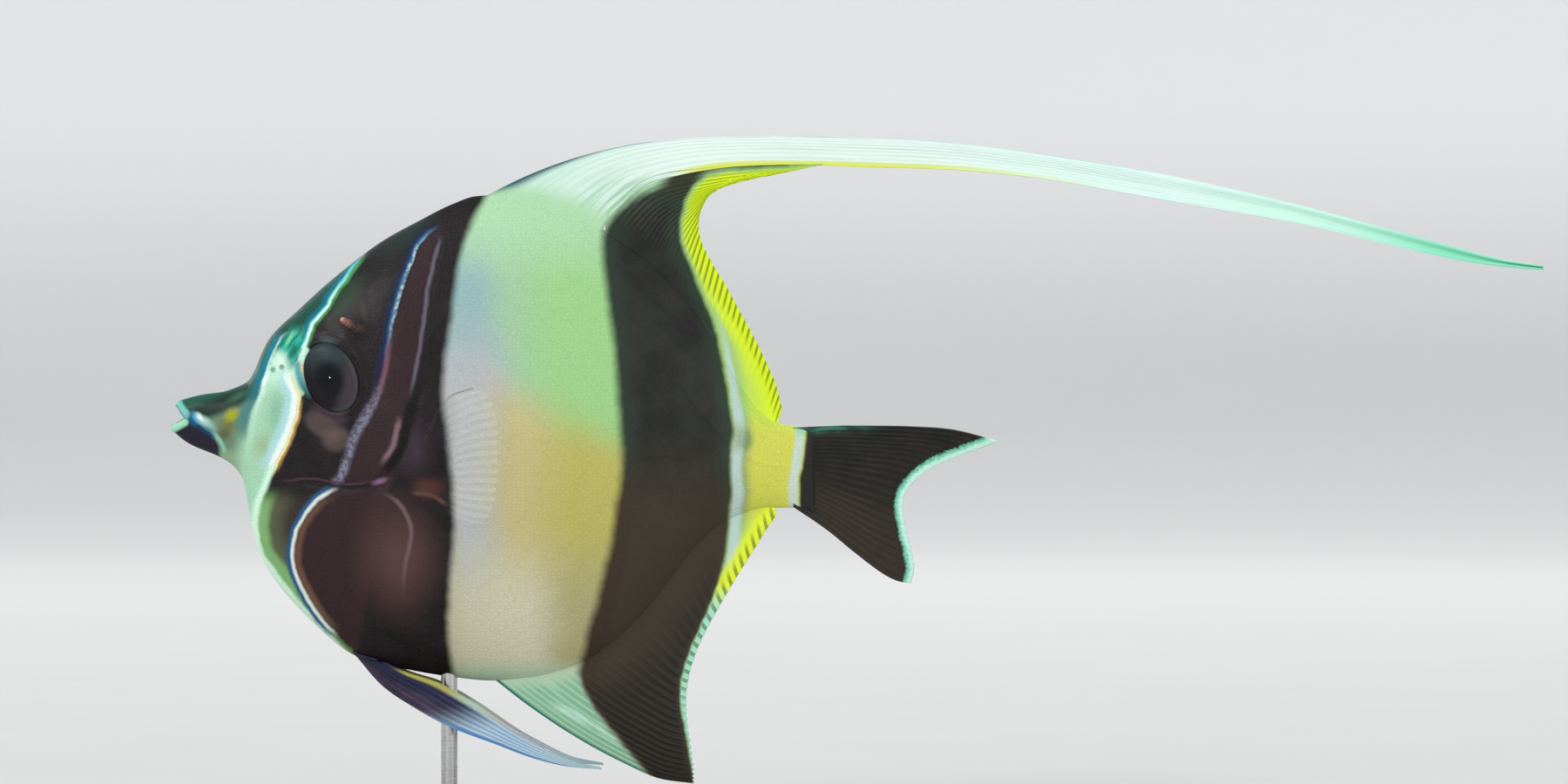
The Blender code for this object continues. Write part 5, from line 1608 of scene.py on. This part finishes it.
def mix_pelvic():
    """Dark purple blade, olive yellow along its upper edge, blue-white towards the tip, partly a painted
    highlight.
    """
    fin = FinFinish("pelvic_fin_paint", coat=0.06, Coat_Roughness=0.25, Specular_IOR_Level=0.2)
    clouds = fin.noise(0.3, 3.0, (4.0, 1.0, 1.0), -0.5)
    olive = fin.over((192, 190, 92), (190, 220, 200), fin.along(0.28, 0.42))
    pale = fin.lay(
        (176, 206, 224),
        ((198, 228, 228), fin.along(0.6, 0.95)),
        ((124, 152, 192), fin.between_rays(0.5, 0.05), 0.6),
    )
    return fin.done(fin.lay(
        (36, 34, 50),
        ((70, 56, 80), fin.fade(clouds, 0.35, 0.7)),
        ((30, 34, 66), fin.across(0.4, 0.55), fin.across(0.9, 0.75)),
        ((120, 124, 140), fin.rays, fin.along(0.2, 0.6), 0.4),
        (olive, fin.across(0.76, 0.94), fin.along(0.06, 0.14), 0.85),
        # The blue-white towards the tip is partly a painted highlight.
        (pale, fin.fade(fin.sum("MULTIPLY_ADD", fin.u, -0.1, fin.v), 0.3, 0.52)),
        ((20, 112, 176), fin.across(0.2, 0.04), fin.along(0.34, 0.5), fin.along(1.0, 0.8), 0.85),
        ((232, 190, 146), fin.across(0.9, 0.99), fin.along(0.4, 0.55), 0.8),
    ), skin_ends=4.0)


pelvic_flat = fan(path(PELVIC_ROOT), PELVIC_TIP, PELVIC_FRONT, PELVIC_REAR)


def pelvic_sheet(side):
    """The sheet of a pelvic fin, which leans out from the belly towards its tip."""

    def at(u, v):
        x, z = pelvic_flat(u, v).T
        out = PELVIC_ROOT_Y + PELVIC_SPREAD * v + PELVIC_CANT * u * (1 - v)
        return np.stack([x, side * out, z], axis=1)

    return at


pelvic_finish = mix_pelvic()
for label, side in SIDES:
    make_fin(
        "pelvic_" + label, pelvic_sheet(side), 6, 150, pelvic_finish, ["pelvic_fin_" + label],
        root=1.4, swell=3.0, bare=8.0, notch=0.0, fork=2.0,
    )

# %% [markdown]
# ## The pectoral fins
# The pectoral fins are clear fans behind the gill cover. They are skin as thin as cling film, so their
# material lets light through, by its alpha, between pale rays.

# %% Make the pectoral fins
PECTORAL_ROOT = [(54.9, 3.9), (55.6, -4.6)]
PECTORAL_TOP_RAY = [(57.8, 10.6), (61.4, 15.2)]
PECTORAL_FOOT_RAY = [(58.8, -7.8), (63.4, -10.9)]
PECTORAL_EDGE = [
    (66.6, 17.0), (70.2, 15.6), (72.2, 10.6), (72.6, 3.6), (72.2, -3.6), (71.2, -8.8), (69.0, -12.1),
]
PECTORAL_SPREAD, PECTORAL_STANDOFF, PECTORAL_SUNK = 1.05, 0.3, 0.4


def mix_pectoral():
    """Clear skin between pale rays, dusky and clearer still over the dark band and along the first ray."""
    fin = FinFinish("pectoral_fin_film", 0.5, Coat_Roughness=0.3, Specular_IOR_Level=0.15)
    first = fin.across(0.03, 0.0)
    dusky = fin.sum("MAXIMUM", fin.along(0.2, 0.05), fin.aft(63.5, 60.5))
    alpha = fin.add("MapRange", {"Value": fin.rays, "To Min": 0.03, "To Max": 0.17}).outputs[0]
    alpha = fin.sum("ADD", alpha, fin.all_of(fin.along(0.2, 0.0), 0.5))
    alpha = fin.sum("MINIMUM", fin.sum("ADD", alpha, fin.all_of(first, 0.3)), 1.0)
    seen = fin.sum("MULTIPLY_ADD", fin.aft(58.5, 64.5), 0.82, 0.18)
    fin.set("Alpha", fin.all_of(alpha, seen))
    return fin.done(
        fin.lay((214, 216, 208), ((66, 48, 54), dusky), ((112, 108, 104), first)), 0.03, skin_ends=1.0
    )


pectoral_root = path(PECTORAL_ROOT)
pectoral_flat = fan(pectoral_root, PECTORAL_EDGE, PECTORAL_TOP_RAY, PECTORAL_FOOT_RAY)


def pectoral_sheet(side):
    """The sheet of a pectoral fin, which stands off the flank more and more towards its edge."""

    def at(u, v):
        x, z = pectoral_flat(u, v).T
        root_x, root_z = pectoral_root(u).T
        off = flank_y(root_x, root_z) - PECTORAL_SUNK
        off += (PECTORAL_STANDOFF + PECTORAL_SUNK) * np.minimum(v * 8, 1.0)
        ripple = 0.25 * v * np.sin(math.tau * 2.5 * u)
        return np.stack([x, side * (off + PECTORAL_SPREAD * (x - root_x) + ripple), z], axis=1)

    return at


pectoral_finish = mix_pectoral()
for label, side in SIDES:
    make_fin(
        "pectoral_" + label, pectoral_sheet(side), 16, 56, pectoral_finish, ["pectoral_fin_" + label],
        root=0.3, bare=3.0, ray=0.4, notch=0.03,
    )

# %% [markdown]
# ## The stand
# The base and the rod keep their solids, since a lathe and a planer make just such plain forms. The base
# gets a dark oiled wood: stretched noise bends a set of growth rings, and fine pores run along them. The
# rod is brushed steel.

# %% Finish the stand


def mix_wood():
    """Dark oiled walnut with its rings running along the base."""
    finish = Finish("oiled_walnut", Coat_Weight=0.25, Coat_Roughness=0.25)
    warp = finish.noise(0.05, 3.0, (2.9, 1.0, 1.0))
    ring = finish.sum("SINE", finish.sum("MULTIPLY_ADD", finish.y, 0.9, finish.sum("MULTIPLY", warp, 22.0)))
    pores = finish.fade(finish.noise(1.0, 3.0, (8.0, 0.45, 0.45)), 0.55, 0.7)
    grain = ((92, 58, 39), finish.fade(ring, -0.9, 0.9)), ((34, 20, 14), pores, 0.7)
    finish.set("Base Color", finish.lay((68, 42, 29), *grain))
    finish.relief(finish.sum("SUBTRACT", 1.0, pores), 0.08, 0.5)
    finish.roughness(0.34, 0.48, 0.2)
    return finish


def mix_steel():
    """Steel brushed round the rod."""
    finish = Finish("brushed_steel", Metallic=1.0)
    brushed = finish.noise(2.0, 3.0, (5.0, 5.0, 0.17))
    finish.set("Base Color", finish.over((172, 172, 174), (208, 208, 206), finish.fade(brushed, 0.3, 0.7)))
    finish.relief(brushed, 0.02, 0.4)
    finish.roughness(0.22, 0.38, 0.8)
    return finish


def dress(node, finish):
    """Gives a solid that stays in view its finish."""
    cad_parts[node].data.materials.clear()
    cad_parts[node].data.materials.append(finish.material)


steel_finish = mix_steel()
dress("stand_base", mix_wood())
dress("stand_rod", steel_finish)
print("dressed the base and the rod")

# %% [markdown]
# ## A collar for the rod
# A small collar hides where the rod meets the wood. A turned part is a profile spun round an axis, and a
# bevel softens its edges so that they catch the light.

# %% Make the collar
ROD_X, BASE_TOP, ROD_RADIUS = 60.0, -74.2, 1.8
COLLAR = [(ROD_RADIUS + 0.05, 0.0), (4.2, 0.0), (4.2, 0.9), (3.4, 1.7), (2.6, 2.2), (ROD_RADIUS + 0.05, 2.4)]


def make_collar(finish):
    """A turned collar round the rod's foot, its edges softened."""
    shape = turned(COLLAR, 1, 64)
    bmesh.ops.translate(shape, verts=shape.verts[:], vec=(ROD_X, 0.0, BASE_TOP + 0.02))
    bmesh.ops.bevel(
        shape, geom=[edge for edge in shape.edges if edge.calc_face_angle(0) > 0.6],
        offset=0.15, segments=2, affect="EDGES", profile=0.5, material=-1,
    )
    face_outwards(shape)
    return show("rod_collar", as_mesh(shape, "rod_collar"), finish, [])


make_collar(steel_finish)

# %% [markdown]
# ## The floor
# The fish is shown as in a studio: a pale floor that sweeps up into a paler wall all round, so that no
# edge shows behind the model from any side. It is spun like the collar and belongs to the stage alone.
# Its paper is painted darker near the fish, where the lamps light it most, and paler far off and up the
# wall, which gets less light: painted light that evens out the backdrop.

# %% Lay the floor
SWEEP_FLOOR_RADIUS, SWEEP_CURVE, SWEEP_HEIGHT = 2.0, 2.0, 0.6


def make_floor():
    """A round floor that curves up into a wall."""
    bend = [
        (SWEEP_FLOOR_RADIUS + SWEEP_CURVE * math.sin(angle), SWEEP_CURVE * (1 - math.cos(angle)))
        for angle in np.linspace(0.0, math.pi / 2, 13)
    ]
    wall_top = (SWEEP_FLOOR_RADIUS + SWEEP_CURVE, SWEEP_CURVE + SWEEP_HEIGHT)
    shape = turned([(0.0, 0.0)] + bend + [wall_top], 0, 96)
    face_outwards(shape)
    bmesh.ops.reverse_faces(shape, faces=[face for face in shape.faces if face.normal.z < -0.5])
    mesh = as_mesh(shape, "studio_floor")
    mesh.shade_smooth()
    floor = bpy.data.objects.new("studio_floor", mesh)
    bpy.context.scene.collection.objects.link(floor)
    paper = Finish("floor_paper", Roughness=0.85)
    away = paper.add("VectorMath", {0: paper.sheet}, operation="LENGTH").outputs["Value"]
    # Painted light: darker near the fish, where the lamps light the paper most, paler far off and up the
    # wall, which gets less light.
    near = paper.over((198, 198, 195), (202, 202, 199), paper.noise(0.02, 3.0))
    far = paper.over((204, 204, 202), (240, 240, 238), paper.up(-40.0, 280.0))
    paper.set("Base Color", paper.over(near, far, paper.fade(away, 600.0, 2000.0)))
    mesh.materials.append(paper.material)


make_floor()
print("floor out to", SWEEP_FLOOR_RADIUS + SWEEP_CURVE, "m")

# %% [markdown]
# ## Light
# A large soft light hangs above the camera's left, a second fills the shadows, and two from behind lift
# the outline. They hang far enough off to light the whole model evenly. A tiny one, weak but bright, only
# puts a spark in the eye.

# %% Hang the lights
AIM = Vector((0.03, 0.0, 0.10))


def hang_light(name, place, size, power, colour=(1.0, 1.0, 1.0)):
    """A soft square light that points at the fish."""
    light = bpy.data.lights.new(name, "AREA")
    light.size = size
    light.energy = power
    light.color = colour
    lamp = bpy.data.objects.new(name, light)
    lamp.location = place
    lamp.rotation_euler = (AIM - Vector(place)).to_track_quat("-Z", "Y").to_euler()
    bpy.context.scene.collection.objects.link(lamp)


hang_light("key_light", (-1.1, -1.7, 1.35), 0.7, 19.0, (1.0, 0.985, 0.96))
hang_light("fill_light", (1.4, -1.9, 0.5), 1.2, 7.0, (0.96, 0.98, 1.0))
hang_light("rim_light", (0.5, 1.75, 1.4), 1.0, 12.0)
hang_light("far_light", (-1.45, 1.45, 0.75), 1.0, 7.5)
hang_light("eye_spark", (-0.74, -1.6, 0.24), 0.04, 0.8)

world = bpy.data.worlds.new("pale_room")
world.use_nodes = True
world.node_tree.nodes["Background"].inputs["Color"].default_value = (0.93, 0.95, 1.0, 1.0)
world.node_tree.nodes["Background"].inputs["Strength"].default_value = 0.95
bpy.context.scene.world = world
bpy.context.scene.view_settings.view_transform = "Standard"
print("lights:", len(bpy.data.lights))

# %% [markdown]
# ## Camera
# The camera looks square on with a long lens, from the photo's viewpoint.

# %% Set the camera
PHOTO_WIDTH, SENSOR = 342.0, 36.0  # the first on the sheet, in millimetres

camera = bpy.data.cameras.new("camera")
camera.sensor_width = SENSOR
camera.lens = SENSOR * VIEW_DISTANCE / PHOTO_WIDTH
camera.clip_start = 0.01
eye_level = bpy.data.objects.new("camera", camera)
eye_level.location = in_scene((VIEW_CENTRE[0], -VIEW_DISTANCE, VIEW_CENTRE[1]))
eye_level.rotation_euler = (math.pi / 2, 0.0, 0.0)
bpy.context.scene.collection.objects.link(eye_level)
bpy.context.scene.camera = eye_level
print("lens of", round(camera.lens), "mm")
